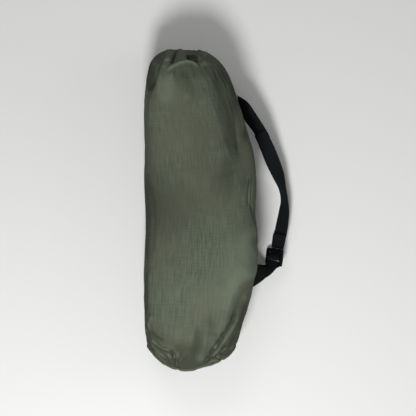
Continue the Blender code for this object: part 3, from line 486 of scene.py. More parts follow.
# Folds of the sides and the underside, as (place along Y, degrees round the bag from +X), height and
# reach: pulls below the strap's two roots, slack near both ends, and sag along the ground
SIDE_FOLDS = (
    (((172, -8), (140, -26), (104, -38)), -3.0, 4.0),
    (((168, -14), (150, -40), (128, -62)), -2.4, 4.0),
    (((176, 2), (150, 14), (120, 20)), -1.8, 4.5),
    (((180, -20), (196, -44), (212, -60)), -2.6, 4.5),
    (((-98, -12), (-60, -30), (-18, -40)), -2.8, 4.5),
    (((-116, -14), (-146, -32), (-178, -40)), -3.0, 4.5),
    (((-120, -2), (-150, 4), (-176, 16)), -2.2, 4.5),
    (((-88, -6), (-50, 6), (-10, 12)), -1.6, 5.0),
    (((60, -22), (20, -34), (-24, -36)), -2.0, 6.0),
    (((198, 150), (150, 168), (96, 176)), -2.6, 5.0),
    (((206, 178), (160, 190), (112, 192)), -2.8, 5.0),
    (((90, 172), (40, 184), (-16, 186)), -1.8, 6.0),
    (((-30, 178), (-84, 168), (-130, 172)), -1.8, 5.5),
    (((-196, 166), (-160, 176), (-120, 190)), -2.8, 4.5),
    (((-204, 190), (-172, 200), (-140, 204)), -2.6, 4.5),
    (((-200, 144), (-176, 156), (-150, 160)), -2.2, 4.0),
    (((20, 204), (-40, 212), (-100, 208)), -2.2, 6.0),
)
# Creases that run out from the drawn mouth and the sewn base: start and finish along Y, seed, number,
# depth, and whether they lie on the sides and the underside
GATHERS = (
    (150.0, 255.0, 5, 17, 4.2, True),
    (150.0, 255.0, 8, 13, 0.9, False),
    (-150.0, -240.0, 11, 15, 2.2, True),
)
# Broad swells and dents of the top: photograph point, height, and reach across and along
SWELLS = (
    ((247, 255), 4.5, 24.0, 55.0),
    ((205, 235), -2.4, 40.0, 60.0),
    ((163, 112), 2.2, 22.0, 50.0),
    ((196, 300), 2.0, 50.0, 50.0),
    ((188, 347), -3.0, 45.0, 18.0),
    ((186, 78), -2.2, 19.0, 17.0),
    ((247.5, 133.5), -3.0, 10.0, 13.0),
    ((255.5, 241.0), -3.0, 9.0, 12.0),
    ((172, 232), -1.4, 22.0, 45.0),
)
# Painted light and shade: spots painted lighter or darker for how light falls on the cloth: photograph
# point, lighter or darker, reach across and along
PAINTED_LIGHT_SPOTS = (
    ((168, 206), -0.38, 76.0, 68.0),
    ((156, 206), -0.12, 16.0, 50.0),
    ((222, 92), -0.30, 20.0, 40.0),
    ((233, 126), -0.28, 22.0, 48.0),
    ((228, 168), -0.24, 26.0, 62.0),
    ((204, 140), -0.20, 22.0, 50.0),
    ((240, 137), 0.14, 9.0, 12.0),
    ((228, 160), -0.17, 12.0, 30.0),
    ((224, 190), -0.11, 20.0, 26.0),
    ((165, 87), 0.75, 13.0, 24.0),
    ((172, 97), 0.20, 13.0, 16.0),
    ((251, 267), 0.34, 7.0, 6.0),
    ((242, 275.5), 0.34, 8.0, 7.0),
    ((233, 286), 0.34, 7.0, 10.0),
    ((228, 300), 0.16, 8.0, 14.0),
    ((247, 289), -0.20, 9.0, 12.0),
    ((188, 78), -0.16, 22.0, 18.0),
    ((193, 58.5), -1.10, 8.0, 4.5),
    ((173, 60), -0.80, 4.5, 9.0),
    ((157.5, 67), -0.40, 5.5, 18.0),
    ((212, 296), 0.20, 56.0, 44.0),
    ((236, 258), 0.34, 36.0, 46.0),
    ((237, 328), -0.60, 10.0, 34.0),
    ((180, 352), -0.44, 52.0, 27.0),
    ((152, 340), -0.50, 20.0, 28.0),
    ((167, 362), -0.60, 22.0, 10.0),
    ((176, 362), -0.30, 5.0, 9.0),
    ((208, 358), -0.26, 7.0, 12.0),
    ((147, 190), -0.20, 9.0, 170.0),
    ((150, 74), -0.50, 6.0, 26.0),
    ((152, 80), -0.70, 6.0, 22.0),
    ((190, 364), -0.60, 62.0, 9.0),
    ((244, 310), -0.70, 8.0, 24.0),
    ((231, 317), -0.50, 3.6, 9.0),
    ((227, 325), -0.60, 3.6, 8.0),
    ((222, 333), -0.60, 3.8, 8.0),
    ((217, 341), -0.60, 3.8, 8.0),
    ((212, 349), -0.50, 3.8, 8.0),
    ((207, 358), -0.40, 3.8, 8.0),
    ((231, 340), -0.50, 4.0, 10.0),
    ((224, 348), -0.50, 4.0, 7.0),
    ((250, 250), 1.00, 10.0, 26.0),
    ((175.3, 361), -0.90, 2.4, 8.0),
    ((216, 360.5), -0.70, 8.0, 2.6),
    ((212, 317), -0.18, 7.0, 12.0),
    ((208, 324), -0.32, 16.0, 20.0),
    ((201, 337), -0.22, 9.0, 16.0),
    ((234, 96), -0.60, 7.0, 20.0),
    ((195, 96), -0.22, 14.0, 12.0),
    ((221, 78), -0.30, 14.0, 16.0),
    ((244, 182), -0.25, 7.0, 14.0),
    ((223, 350), -0.80, 13.0, 16.0),
    ((146.5, 225), -0.90, 5.0, 50.0),
    ((146.5, 300), -0.70, 5.0, 45.0),
    ((172, 63), 0.60, 18.0, 14.0),
    ((181, 53.5), 0.80, 20.0, 5.5),
    ((205, 54), 0.50, 10.0, 6.0),
    ((188, 61.5), 0.30, 14.0, 2.6),
)
# The mouth's outline seen from above: X, and how far it lies beyond an even curve along Y
MOUTH_RUN = (
    (-66, -1.0), (-56, -2.0), (-47, -0.8), (-38, 0.4), (-31, -1.2), (-25, -4.0), (-15, -8.0), (-9, -6.6),
    (0, -4.4), (9, -3.4), (20, -2.4), (34, 0.0),
)
# The base seam's run seen from above: X, and how far it lies beyond an even curve along Y
BASE_RUN = (
    (-85, 0.0), (-74, -1.0), (-60, -1.4), (-48, 0.6), (-36, 1.2), (-22, 1.4), (-12, 2.2), (-4, 5.2),
    (4, 6.3), (14, 5.4), (24, 4.4), (38, 0.0), (48, -1.4), (55, 0.0),
)


def from_photo(point):
    return ((point[0] - PHOTO_ORIGIN[0]) * PIXEL, (PHOTO_ORIGIN[1] - point[1]) * PIXEL)


def between(values, start, end):
    """From 0 at the start to 1 at the end, and level beyond both."""
    return np.clip((values - start) / (end - start), 0, 1)


def running_length(points):
    """The length walked up to each point, from 0."""
    return np.concatenate([[0.0], np.cumsum(np.linalg.norm(np.diff(points, axis=0), axis=1))])


def spread(count, density):
    """Places from 0 to 1, closer together where the density is higher."""
    total = np.concatenate([[0.0], np.cumsum((density[1:] + density[:-1]) / 2)])
    return np.interp(np.linspace(0, total[-1], count), total, np.linspace(0, 1, len(density)))


def smooth_table(knots, count):
    """Values through the knots, with rows closer together near both ends of the bag."""
    knots = np.array(knots, float)
    place = running_length(knots[:, [0, 2, 3, 5]])
    share = np.linspace(0, 1, 400)
    density = np.ones(len(share))
    for more, middle, reach in CLOSER_ROWS:
        density += more * np.exp(-((share - middle) / reach) ** 2)
    wanted = place[-1] * spread(count, density)
    slope = np.gradient(knots, place, axis=0)
    index = np.clip(np.searchsorted(place, wanted, "right") - 1, 0, len(place) - 2)
    gap = (place[index + 1] - place[index])[:, None]
    t = (wanted - place[index])[:, None] / gap
    return ((2 * t ** 3 - 3 * t ** 2 + 1) * knots[index] + (t ** 3 - 2 * t ** 2 + t) * gap * slope[index]
            + (3 * t ** 2 - 2 * t ** 3) * knots[index + 1] + (t ** 3 - t ** 2) * gap * slope[index + 1])


def column_angles():
    """Angles round the bag, closer together over its top."""
    turn = np.linspace(0, 2 * pi, 721)
    density = 1 + 1.6 / (1 + np.exp(-14 * (np.sin(turn) + 0.12)))
    return 2 * pi * spread(COLUMNS + 1, density)[:-1]


def power(values, exponent):
    return np.sign(values) * np.abs(values) ** exponent


def bag_surface(angles):
    """Rows of points from the base seam to the mouth's ridge, before any folds."""
    table = smooth_table(BAG_STATIONS, ROWS)
    side_y, run_on, left, right, low, high = (table[:, i][:, None] for i in range(6))
    across, raised = np.cos(angles)[None, :], np.sin(angles)[None, :]
    boxy = np.interp(table[:, 0], BOXY_AT, BOXY)[:, None]
    square = SQUARENESS + BOXIER * boxy * np.clip(-across, 0, 1) ** 0.5
    x = (left + right) / 2 + (right - left) / 2 * power(across, 2 / square)
    z = (low + high) / 2 + (high - low) / 2 * power(raised, 2 / square)
    y = side_y - run_on * raised ** 2
    return np.stack([x, y, z], axis=2)


def row_normals(points):
    """Outward normals of a grid that is closed across its columns."""
    along = np.gradient(points, axis=0)
    around = np.roll(points, -1, axis=1) - np.roll(points, 1, axis=1)
    normals = np.cross(along, around)
    return normals / np.maximum(np.linalg.norm(normals, axis=2, keepdims=True), 1e-9)


def line_field(x, y, line):
    """Distance to a line in a plane, which side of it, and how far along, from 0 to 1."""
    line = np.array(line, float)
    starts = running_length(line)
    best, side, run = np.full(x.shape, 1e9), np.zeros(x.shape), np.zeros(x.shape)
    for index in range(len(line) - 1):
        first, step = line[index], line[index + 1] - line[index]
        t = np.clip(((x - first[0]) * step[0] + (y - first[1]) * step[1]) / (step @ step), 0, 1)
        off_x, off_y = x - first[0] - t * step[0], y - first[1] - t * step[1]
        far = np.hypot(off_x, off_y)
        nearer = far < best
        best = np.where(nearer, far, best)
        side = np.where(nearer, np.sign(step[0] * off_y - step[1] * off_x), side)
        reached = starts[index] + t * np.linalg.norm(step)
        run = np.where(nearer, reached / starts[-1], run)
    return best, side, run


def fold_heights(points, normals):
    """How far each point moves out along its normal for the folds seen in the photograph."""
    x, y = points[..., 0], points[..., 1]
    total = np.zeros(x.shape)
    for line, height, left, right in FOLDS:
        far, side, run = line_field(x, y, [from_photo(p) for p in line])
        reach, soft = np.where(side > 0, left[0], right[0]), np.where(side > 0, left[1], right[1])
        fade = np.clip(np.minimum(run, 1 - run) * 5 + 0.1, 0, 1)
        total += height * fade * np.exp(-(far / reach) ** soft)
    return (total + spots(x, y, SWELLS)) * between(normals[..., 2], *TOP_FOLDS)


def spots(x, y, places):
    """The sum of soft round places, each with its amount and its reach across and along."""
    total = np.zeros(x.shape)
    for place, amount, wide, long in places:
        at_x, at_y = from_photo(place)
        total += amount * np.exp(-((x - at_x) / wide) ** 2 - ((y - at_y) / long) ** 2)
    return total


def side_fold_heights(y, angles):
    """Creases of the sides, each with a low welt along both its edges."""
    total = np.zeros(y.shape)
    for line, height, reach in SIDE_FOLDS:
        middle = radians(np.mean([stop[1] for stop in line]))
        turned_by = np.angle(np.exp(1j * (angles[None, :] - middle))) + 0 * y
        plan = [(stop[0], MEAN_GIRTH_RADIUS * (radians(stop[1]) - middle)) for stop in line]
        far, _, run = line_field(y, MEAN_GIRTH_RADIUS * turned_by, plan)
        fade = np.clip(np.minimum(run, 1 - run) * 3.5, 0, 1)
        welt = 0.55 * np.exp(-((far - 1.8 * reach) / reach) ** 2)
        total += fade * height * (np.exp(-(far / reach) ** 1.3) - welt)
    return total


def wave_noise(angle, length, seed, terms=9):
    """A smooth random field over the bag: angle round it, and length along it in millimetres."""
    random = np.random.default_rng(seed)
    total = np.zeros(np.broadcast(angle, length).shape)
    for _ in range(terms):
        turns = random.integers(1, 8)
        slant = length * random.uniform(-0.045, 0.045)
        total = total + np.sin(turns * angle + slant + random.uniform(0, 2 * pi))
    return total / terms ** 0.5


def gather_heights(y, angles, start, finish, seed, count, depth):
    """Creases that run out from a drawn or sewn end, irregular in place, depth and reach."""
    random = np.random.default_rng(seed)
    total = np.zeros(y.shape)
    for crease in range(count):
        middle = 2 * pi * (crease + random.uniform(-0.3, 0.3)) / count
        narrow = random.uniform(0.07, 0.13)
        reach = finish + random.uniform(0.3, 1.0) * (start - finish)
        deep = depth * random.uniform(0.5, 1.0)
        away = np.angle(np.exp(1j * (angles[None, :] - middle - 0.0015 * (y - finish))))
        near = between(y, reach, finish) ** 1.6
        welt = 0.35 * np.exp(-(away / (2.6 * narrow)) ** 2)
        total -= deep * near * (np.exp(-(away / narrow) ** 2) - welt)
    return total


def crease_shade_and_rubbing(heights):
    """From 0 in a crease to 1 on a ridge, by each height against the mean of its neighbours."""
    # Creases get painted shade; ridges get rubbing and painted highlight
    blurred = heights.copy()
    for _ in range(BLUR_PASSES):
        blurred = (blurred + np.roll(blurred, 1, axis=1) + np.roll(blurred, -1, axis=1)) / 3
        inner = blurred.copy()
        inner[1:-1] = (blurred[:-2] + blurred[1:-1] + blurred[2:]) / 3
        blurred = inner
    return EVEN + (heights - blurred) / RIDGE_HEIGHT


def shell_mesh(name, outer, wear_and_light):
    """A closed thin shell: the outer grid, and a coarser inner wall that shares its columns."""
    rows, columns, _ = outer.shape
    inward = outer - row_normals(outer) * CLOTH
    kept = sorted(set(range(0, rows, INNER_STEP)) | {rows - 1})
    grid = np.concatenate([outer, inward[kept][::-1]])
    count = len(grid)
    faces = []
    for row in range(count):
        after = (row + 1) % count
        for column in range(columns):
            beside = (column + 1) % columns
            faces.append((row * columns + column, after * columns + column,
                          after * columns + beside, row * columns + beside))
    mesh = bpy.data.meshes.new(name)
    mesh.from_pydata(grid.reshape(-1, 3) * MM, [], faces)
    lay_out(mesh, grid, columns)
    # Rubbing and painted light and shade, kept for the cloth's colour
    worn_and_lit = mesh.attributes.new("wear_and_painted_light", "FLOAT", "POINT")
    values = np.full(grid.shape[:2], EVEN)
    values[:len(wear_and_light)] = wear_and_light
    worn_and_lit.data.foreach_set("value", values.astype(np.float32).ravel())
    mesh.shade_smooth()
    return mesh


def lay_out(mesh, grid, columns):
    """A map in metres: X round the grid's widest row and Y along it."""
    spans = np.linalg.norm(np.roll(grid, -1, axis=1) - grid, axis=2)
    widest = np.concatenate([[0.0], np.cumsum(spans[spans.sum(axis=1).argmax()])])
    run = np.concatenate([[0.0], np.cumsum(np.linalg.norm(np.diff(grid, axis=0), axis=2).mean(axis=1))])
    layer = mesh.uv_layers.new(name="cloth_map")
    loops = np.zeros(len(mesh.loops), np.int32)
    mesh.loops.foreach_get("vertex_index", loops)
    row, column = loops // columns, loops % columns
    corner = np.arange(len(loops)) % 4
    u = widest[np.where((column == 0) & (corner >= 2), columns, column)]
    v = np.where((row == 0) & ((corner == 1) | (corner == 2)), run[-1] + CLOTH, run[row])
    layer.data.foreach_set("uv", (np.stack([u, v], axis=1) * MM).astype(np.float32).ravel())


def in_scene(name, data):
    made = bpy.data.objects.new(name, data)
    bpy.context.scene.collection.objects.link(made)
    return made


def finished(name, mesh, material):
    mesh.materials.clear()
    mesh.materials.append(material)
    return in_scene(name, mesh)


def dressed(made, slot, *replaced):
    """Hides the CAD nodes named, in whose place the piece stands. The slot is not used."""
    if replaced:
        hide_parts(*replaced)
    return made


def piece(name, mesh, material, body, slot, *replaced):
    """A piece that moves with one body."""
    made = finished(name, mesh, material)
    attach(made, body)
    return dressed(made, slot, *replaced)


def hem_rows(angles):
    """The cloth's roll round the drawcord, from the ridge to the inside."""
    rows = []
    wave = 0.9 * np.abs(np.sin(7 * angles + 0.6)) + 0.5 * np.sin(17 * angles)
    for turn in HEM_TURNS:
        reach = HEM_RING + HEM_ROLL * cos(radians(turn)) + 0.4 * wave
        y = HEM_Y + HEM_ROLL * sin(radians(turn)) + 0.35 * wave
        x, z = MOUTH[0] + reach * np.cos(angles), MOUTH[1] + reach * np.sin(angles)
        rows.append(np.stack([x, y, z], axis=1))
    return np.array(rows)


def all_heights(points, normals, angles):
    """How far the cloth stands out from the bag's even form, folds and slack together."""
    y, up = points[..., 1], normals[..., 2]
    below = between(up, *UNDERSIDE)
    heights = fold_heights(points, normals) + side_fold_heights(y, angles)
    for start, finish, seed, count, depth, under in GATHERS:
        share = below if under else 1 - below
        heights += gather_heights(y, angles, start, finish, seed, count, depth) * share
    body = between(y, *SLACK_FROM_BASE) * between(y, *SLACK_FROM_MOUTH)
    loose, ends = 0.55 + 0.9 * below, between(np.abs(y), *TOWARDS_ENDS)
    for height, turns, closer, seed, at_ends in SLACK:
        share = ends if at_ends else loose
        heights += height * share * body * wave_noise(turns * angles[None, :], closer * y, seed)
    held = between(np.abs(y), *DENTS_HELD)
    shallow = np.maximum(heights, DEEPEST_DENT + 0.2 * (heights - DEEPEST_DENT))
    return heights * (1 - held) + shallow * held - SUNK * body


def carry_bag():
    """The bag's cloth, and its folded surface for the pieces that lie on it."""
    angles = column_angles()
    points = bag_surface(angles)
    normals = row_normals(points)
    up = normals[..., 2]
    heights = all_heights(points, normals, angles)
    free = 0.15 + 0.85 * between(points[..., 2], *OFF_GROUND)
    points = points + normals * (heights * free)[..., None]
    points[..., 2] = np.clip(points[..., 2], 0.0, CLOTH_TOP)
    near_base = np.exp(-np.arange(ROWS) / SEAM_REACH_ROWS)[:, None]
    for seam, near in ((BASE_RUN, near_base), (MOUTH_RUN, near_base[::-1] * (up > 0))):
        points[..., 1] += np.interp(points[..., 0], *np.array(seam).T) * near
    whole = np.concatenate([points, hem_rows(angles)])
    # Painted light and shade spots on the top, added to the creases' painted shade and the ridges' rubbing
    # and painted highlight
    painted_light = spots(points[..., 0], points[..., 1], PAINTED_LIGHT_SPOTS) * between(up, *PAINTED_LIGHT_ON_TOP)
    wear_and_light = crease_shade_and_rubbing(heights) + painted_light
    mesh = shell_mesh("carry_bag_cloth", whole, np.clip(wear_and_light, DARKEST, 1))
    bag = piece("carry_bag_cloth", mesh, olive, "carry_bag", "olive_cloth", "bag_cloth")
    return points, heights


bag_points, bag_dents = carry_bag()


# Sewing, made along curves with Geometry Nodes

def made_real(tree, given, instances, made):
    """Ends a tree: what was set out becomes plain geometry with the finish that is given."""
    real = tree.nodes.new("GeometryNodeRealizeInstances")
    finish = tree.nodes.new("GeometryNodeSetMaterial")
    join(tree, (instances, real.inputs["Geometry"]),
         (real.outputs["Geometry"], finish.inputs["Geometry"]),
         (given.outputs["Finish"], finish.inputs["Material"]),
         (finish.outputs["Geometry"], made.inputs[0]))


def stitch_tree():
    """Stitches of one length, laid end to end with a gap along a curve."""
    inputs = [("Seam", "Geometry", None), ("Pitch", "Float", 0.003), ("Stitch Length", "Float", 0.0022),
              ("Thread", "Float", 0.0004), ("Finish", "Material", None)]
    tree, given, made = new_tree("stitch_row", "Geometry", inputs, [("Stitches", "Geometry")])
    spaced = tree.nodes.new("GeometryNodeResampleCurve")
    spaced.mode = "LENGTH"
    bead = tree.nodes.new("GeometryNodeMeshUVSphere")
    given_values(bead, Segments=8, Rings=5, Radius=0.5)
    tangent = tree.nodes.new("GeometryNodeInputTangent")
    turned = tree.nodes.new("FunctionNodeAlignRotationToVector")
    turned.axis = "X"
    size = tree.nodes.new("ShaderNodeCombineXYZ")
    set_out = tree.nodes.new("GeometryNodeInstanceOnPoints")
    join(tree, (given.outputs["Seam"], spaced.inputs["Curve"]),
         (given.outputs["Pitch"], spaced.inputs["Length"]),
         (spaced.outputs["Curve"], set_out.inputs["Points"]),
         (bead.outputs["Mesh"], set_out.inputs["Instance"]),
         (tangent.outputs["Tangent"], turned.inputs["Vector"]),
         (turned.outputs["Rotation"], set_out.inputs["Rotation"]),
         (given.outputs["Stitch Length"], size.inputs["X"]), (given.outputs["Thread"], size.inputs["Y"]),
         (given.outputs["Thread"], size.inputs["Z"]), (size.outputs["Vector"], set_out.inputs["Scale"]))
    made_real(tree, given, set_out.outputs["Instances"], made)
    return tree


# Stitch pitch, length and thread, in millimetres
BASE_STITCH = (3.2, 2.3, 0.5)
SEAM_STITCH = (3.0, 2.1, 0.45)
STRAP_STITCH = (2.6, 2.1, 0.5)
stitch_row = stitch_tree()


def applied(holder, tree, values):
    """The plain mesh that a Geometry Nodes tree makes from an object, which is then removed."""
    modifier = holder.modifiers.new(tree.name, "NODES")
    modifier.node_group = tree
    for socket in tree.interface.items_tree:
        if socket.in_out == "INPUT" and socket.name in values:
            modifier[socket.identifier] = values[socket.name]
    bpy.context.view_layer.update()
    mesh = bpy.data.meshes.new_from_object(holder.evaluated_get(bpy.context.evaluated_depsgraph_get()))
    data = holder.data
    bpy.data.objects.remove(holder)
    (bpy.data.curves if isinstance(data, bpy.types.Curve) else bpy.data.meshes).remove(data)
    return mesh


def sewing(name, routes, material, sizes):
    """One mesh of stitch rows. Each route is a list of points in millimetres."""
    pitch, stitch, width = sizes
    data = bpy.data.curves.new(name + "_line", "CURVE")
    data.dimensions = "3D"
    for route in routes:
        spline = data.splines.new("POLY")
        spline.points.add(len(route) - 1)
        for point, place in zip(spline.points, route):
            point.co = (*(Vector(place) * MM), 1)
    values = {"Pitch": pitch * MM, "Stitch Length": stitch * MM, "Thread": width * MM, "Finish": material}
    mesh = applied(in_scene(name + "_line", data), stitch_row, values)
    mesh.name = name
    mesh.shade_smooth()
    return mesh


def closed_mesh(name, points, faces, map_points=None):
    """A closed mesh from millimetres, faces outwards, with a map in metres where one is given."""
    mesh = bpy.data.meshes.new(name)
    mesh.from_pydata([Vector(p) * MM for p in points], [], faces)
    if map_points is not None:
        layer = mesh.uv_layers.new(name="cloth_map")
        for loop in mesh.loops:
            across, along = map_points[loop.vertex_index]
            layer.data[loop.index].uv = (across * MM, along * MM)
    body = bmesh.new()
    body.from_mesh(mesh)
    bmesh.ops.recalc_face_normals(body, faces=body.faces)
    body.to_mesh(mesh)
    body.free()
    mesh.shade_smooth()
    return mesh


def ring_faces(rows, count, closed_rows=False):
    """Faces between rows of points, each row a closed ring."""
    faces = []
    for row in range(rows if closed_rows else rows - 1):
        after = (row + 1) % rows
        for step in range(count):
            beside = (step + 1) % count
            faces.append((row * count + step, row * count + beside,
                          after * count + beside, after * count + step))
    return faces


def fan(first, count, tip):
    """Faces from a ring to one point."""
    return [(first + step, first + (step + 1) % count, tip) for step in range(count)]


def circle(steps):
    """Cosine and sine of even steps round a circle."""
    return [(cos(2 * pi * step / steps), sin(2 * pi * step / steps)) for step in range(steps)]


def flat_ends(rows, count):
    """Faces that close the first and the last row of a flat section."""
    return [(first + step, first + step + 1, first + count - 2 - step, first + count - 1 - step)
            for first in (0, (rows - 1) * count) for step in range(count // 2 - 1)]


def round_bar(name, route, radius, closed=False, sizes=None):
    """A round cord along a route. Its map runs round it in X and along it in Y, in metres."""
    route = [Vector(p) for p in route]
    count = len(route)
    rings, map_points, run = [], [], 0.0
    up = Vector((0.12, 0.08, 1.0)).normalized()
    for index, place in enumerate(route):
        before = route[index - 1] if index or closed else place
        after = route[(index + 1) % count] if index < count - 1 or closed else place
        along = (after - before).normalized()
        up = (up - along * up.dot(along)).normalized()
        across = along.cross(up)
        run += (place - before).length if index else 0.0
        size = radius * (sizes[index] if sizes else 1.0)
        for step, (level, raised) in enumerate(circle(CORD_SIDES)):
            rings.append(place + across * level * size + up * raised * size)
            map_points.append((2 * pi * radius * abs(2 * step / CORD_SIDES - 1), run))
    faces = ring_faces(count, CORD_SIDES, closed)
    if not closed:
        for first, tip in ((0, route[0]), ((count - 1) * CORD_SIDES, route[-1])):
            faces += fan(first, CORD_SIDES, len(rings))
            rings.append(tip)
            map_points.append(map_points[first])
    return closed_mesh(name, rings, faces, map_points)


# Base of the bag, its seams and its cord

CORD_SIDES = 12
BASE_BULGE = 1.6
BASE_RINGS = (0.985, 0.96, 0.93, 0.89, 0.84, 0.78, 0.7, 0.6, 0.48, 0.35, 0.22, 0.1)
PUCKERS = (17, 26, 41)
SEAM_TAPE_DEPTH = 1.9
SEAM_TAPE_THICK = 1.5
# The tape's section, as shares of its depth and thickness
TAPE_SECTION = ((-1, -0.75), (-0.9, -1), (0, -1), (0.75, -0.9), (1, -0.4), (1, 0.4), (0.75, 0.9), (0, 1),
                (-0.9, 1), (-1, 0.75))
# The right side seam's height against the place along Y
SIDE_SEAM_AT = (-214, -105, 60, 173.5, 225)
SIDE_SEAM_Z = (56.0, 38.0, 42.0, 47.0, 54.0)
SIDE_SEAM_HALF = 2.4
OFF_CLOTH = 0.12
DRAWCORD_RADIUS = 1.5
DRAWCORD_STEPS = 96


def outward(place, middle):
    """The level direction out from the bag's middle to a place on it, as seen along Y."""
    return Vector((place[0] - middle[0], 0, place[2] - middle[2])).normalized()


def base_panel(seam):
    """The oval panel, drawn into small puckers where it is sewn in."""
    angles = column_angles()
    low, high = seam.min(axis=0), seam.max(axis=0)
    middle = (low + high) / 2
    top, bottom = seam[np.sin(angles) >= 0], seam[np.sin(angles) < 0]
    top, bottom = top[np.argsort(top[:, 0])], bottom[np.argsort(bottom[:, 0])]
    phases = np.random.default_rng(31).uniform(0, 2 * pi, 3)
    pucker = sum(np.sin(turns * angles + phase) for turns, phase in zip(PUCKERS, phases)) / 3
    rings = []
    for share in BASE_RINGS:
        x = middle[0] + (seam[:, 0] - middle[0]) * share
        z = middle[2] + (seam[:, 2] - middle[2]) * share
        level = between(z, low[2], high[2])
        y_top, y_bottom = np.interp(x, top[:, 0], top[:, 1]), np.interp(x, bottom[:, 0], bottom[:, 1])
        y = y_top * level + y_bottom * (1 - level)
        y = y - BASE_BULGE * (1 - share ** 2) + 1.0 + 0.9 * pucker * share ** 5
        rings.append(np.stack([x, y, z], axis=1))
    back = [ring + np.array([0.0, CLOTH, 0.0]) for ring in rings[::-1]]
    grid = np.array(rings + back)
    rows, count = len(rings), len(angles)
    points = [tuple(p) for p in grid.reshape(-1, 3)]
    front = ring_faces(rows, count)
    faces = front + [tuple(corner + rows * count for corner in face) for face in front]
    last = (2 * rows - 1) * count
    for step in range(count):
        beside = (step + 1) % count
        faces.append((step, beside, last + beside, last + step))
    for row in (rows - 1, rows):
        faces += fan(row * count, count, len(points))
        points.append(tuple(grid[row].mean(axis=0)))
    mesh = closed_mesh("base_panel_cloth", points, faces, [(p[0], p[2]) for p in points])
    made = piece("base_panel_cloth", mesh, olive, "carry_bag", "olive_cloth", "base_panel")


def seam_tape(seam):
    """The tape folded over the base seam's edges, puckered by its sewing, and its row of stitches."""
    angles = column_angles()
    middle = (seam.min(axis=0) + seam.max(axis=0)) / 2
    wave = 0.35 * np.sin(23 * angles + 0.5) + 0.25 * np.sin(37 * angles + 2.0)
    points, map_points, stitch_line = [], [], []
    before, run = None, 0.0
    for place, ripple in zip(seam, wave):
        spoke = outward(place, middle)
        ahead = (Vector((0, -1, 0)) + spoke * 0.12).normalized()
        centre = Vector(place) + ahead * (0.4 + 0.3 * ripple) - spoke * (CLOTH / 2 - 0.25 * ripple)
        run += (centre - before).length if before else 0.0
        before = centre
        for depth, side in TAPE_SECTION:
            points.append(centre + ahead * depth * SEAM_TAPE_DEPTH + spoke * side * SEAM_TAPE_THICK)
            map_points.append((depth * SEAM_TAPE_DEPTH + side, run))
        stitch_line.append(centre + spoke * (SEAM_TAPE_THICK + 0.05) - ahead * 0.7)
    faces = ring_faces(len(seam), len(TAPE_SECTION), True)
    mesh = closed_mesh("base_seam_tape", points, faces, map_points)
    piece("base_seam_tape", mesh, tape, "carry_bag", "olive_cloth", "base_binding")
    mesh = sewing("base_seam_stitches", [stitch_line + stitch_line[:1]], thread, BASE_STITCH)
    piece("base_seam_stitches", mesh, thread, "carry_bag", "olive_cloth")


def side_seam_line(aside):
    """The sewn line down the bag's right side, through both strap tabs' roots."""
    line = []
    for row in range(6, ROWS - 14, 2):
        ring = bag_points[row]
        right = ring[ring[:, 0] > ring[:, 0].mean() + 0.25 * np.ptp(ring[:, 0])]
        right = right[np.argsort(right[:, 2])]
        z = np.interp(right[:, 1].mean(), SIDE_SEAM_AT, SIDE_SEAM_Z) + aside
        x, y = np.interp(z, right[:, 2], right[:, 0]), np.interp(z, right[:, 2], right[:, 1])
        line.append(Vector((x + OFF_CLOTH, y, z)))
    return line


def bag_seams():
    """The double row down the right side, and the row that holds the mouth's hem."""
    routes = [side_seam_line(-SIDE_SEAM_HALF), side_seam_line(SIDE_SEAM_HALF)]
    hem = bag_points[-9]
    middle = hem.mean(axis=0)
    lift = Vector((0, 0.1, 0))
    ring = [Vector(place) + outward(place, middle) * OFF_CLOTH + lift for place in hem]
    routes.append(ring + ring[:1])
    mesh = sewing("bag_seam_stitches", routes, thread, SEAM_STITCH)
    piece("bag_seam_stitches", mesh, thread, "carry_bag", "olive_cloth")


def mouth_cord():
    """The drawcord, run round inside the mouth's hem and pressed into it by the gathers."""
    route = []
    for step in range(DRAWCORD_STEPS):
        turn = 2 * pi * step / DRAWCORD_STEPS
        reach = HEM_RING + 0.3 * sin(9 * turn) + 0.2 * sin(14 * turn + 1)
        y = HEM_Y + 0.3 * sin(11 * turn)
        route.append((MOUTH[0] + reach * cos(turn), y, MOUTH[1] + reach * sin(turn)))
    mesh = round_bar("mouth_cord", route, DRAWCORD_RADIUS, closed=True)
    piece("mouth_cord", mesh, drawcord, "carry_bag", "dark_trim", "mouth_drawcord")


# Shoulder strap: the source's route, in millimetres

WEBBING_WIDTH = 25.0
WEBBING = 1.5
LAYER = WEBBING + 0.3
STRAP_ROUTE = (
    (94.3, 123.8, 34.0, 40),
    (104.5, 103.0, 27.0, 28),
    (114.5, 79.0, 21.0, 24),
    (124.0, 57.0, 16.5, 40),
    (131.0, 36.0, 12.7, 63),
    (134.5, 16.0, 12.1, 64),
    (133.8, -3.0, 10.9, 50),
    (130.0, -28.5, 9.6, 38),
    (125.8, -49.0, 9.4, 38),
)
UPPER_SEAM = (Vector((57.3, 181.0, 56.0)), Vector((59.6, 166.0, 38.0)))
LOWER_SEAM = (Vector((80.2, -124.0, 37.0)), Vector((86.0, -86.0, 39.0)))
TAB_TURN = (Vector((68.5, 163.0, 44.0)), Vector((3.6, 8.8, 7.4)))
TAB_MIDDLE = (76.0, 150.5, 41.5, 33)
ANCHOR_BEND = (Vector((104.5, -107.5, 30.0)), Vector((99.0, -89.0, 18.0)))
LOCK_CENTRE = Vector((118.0, -78.0, 13.7))
LOCK_ALONG = Vector((-0.17, -0.985, 0.0)).normalized()
LOCK_BARS = Vector((0.70, -0.12, 0.71)).normalized()
REAR_BAR_Y = 8.5
REAR_BAR_RADIUS = 2.0
REAR_BAR_TURN = range(62, 300, 14)
ANCHOR_ENTRY = 8.0
BAR_CLEARANCE = 0.35
LOOP_GAP = 0.6
LOOP_SLACK = 1.4
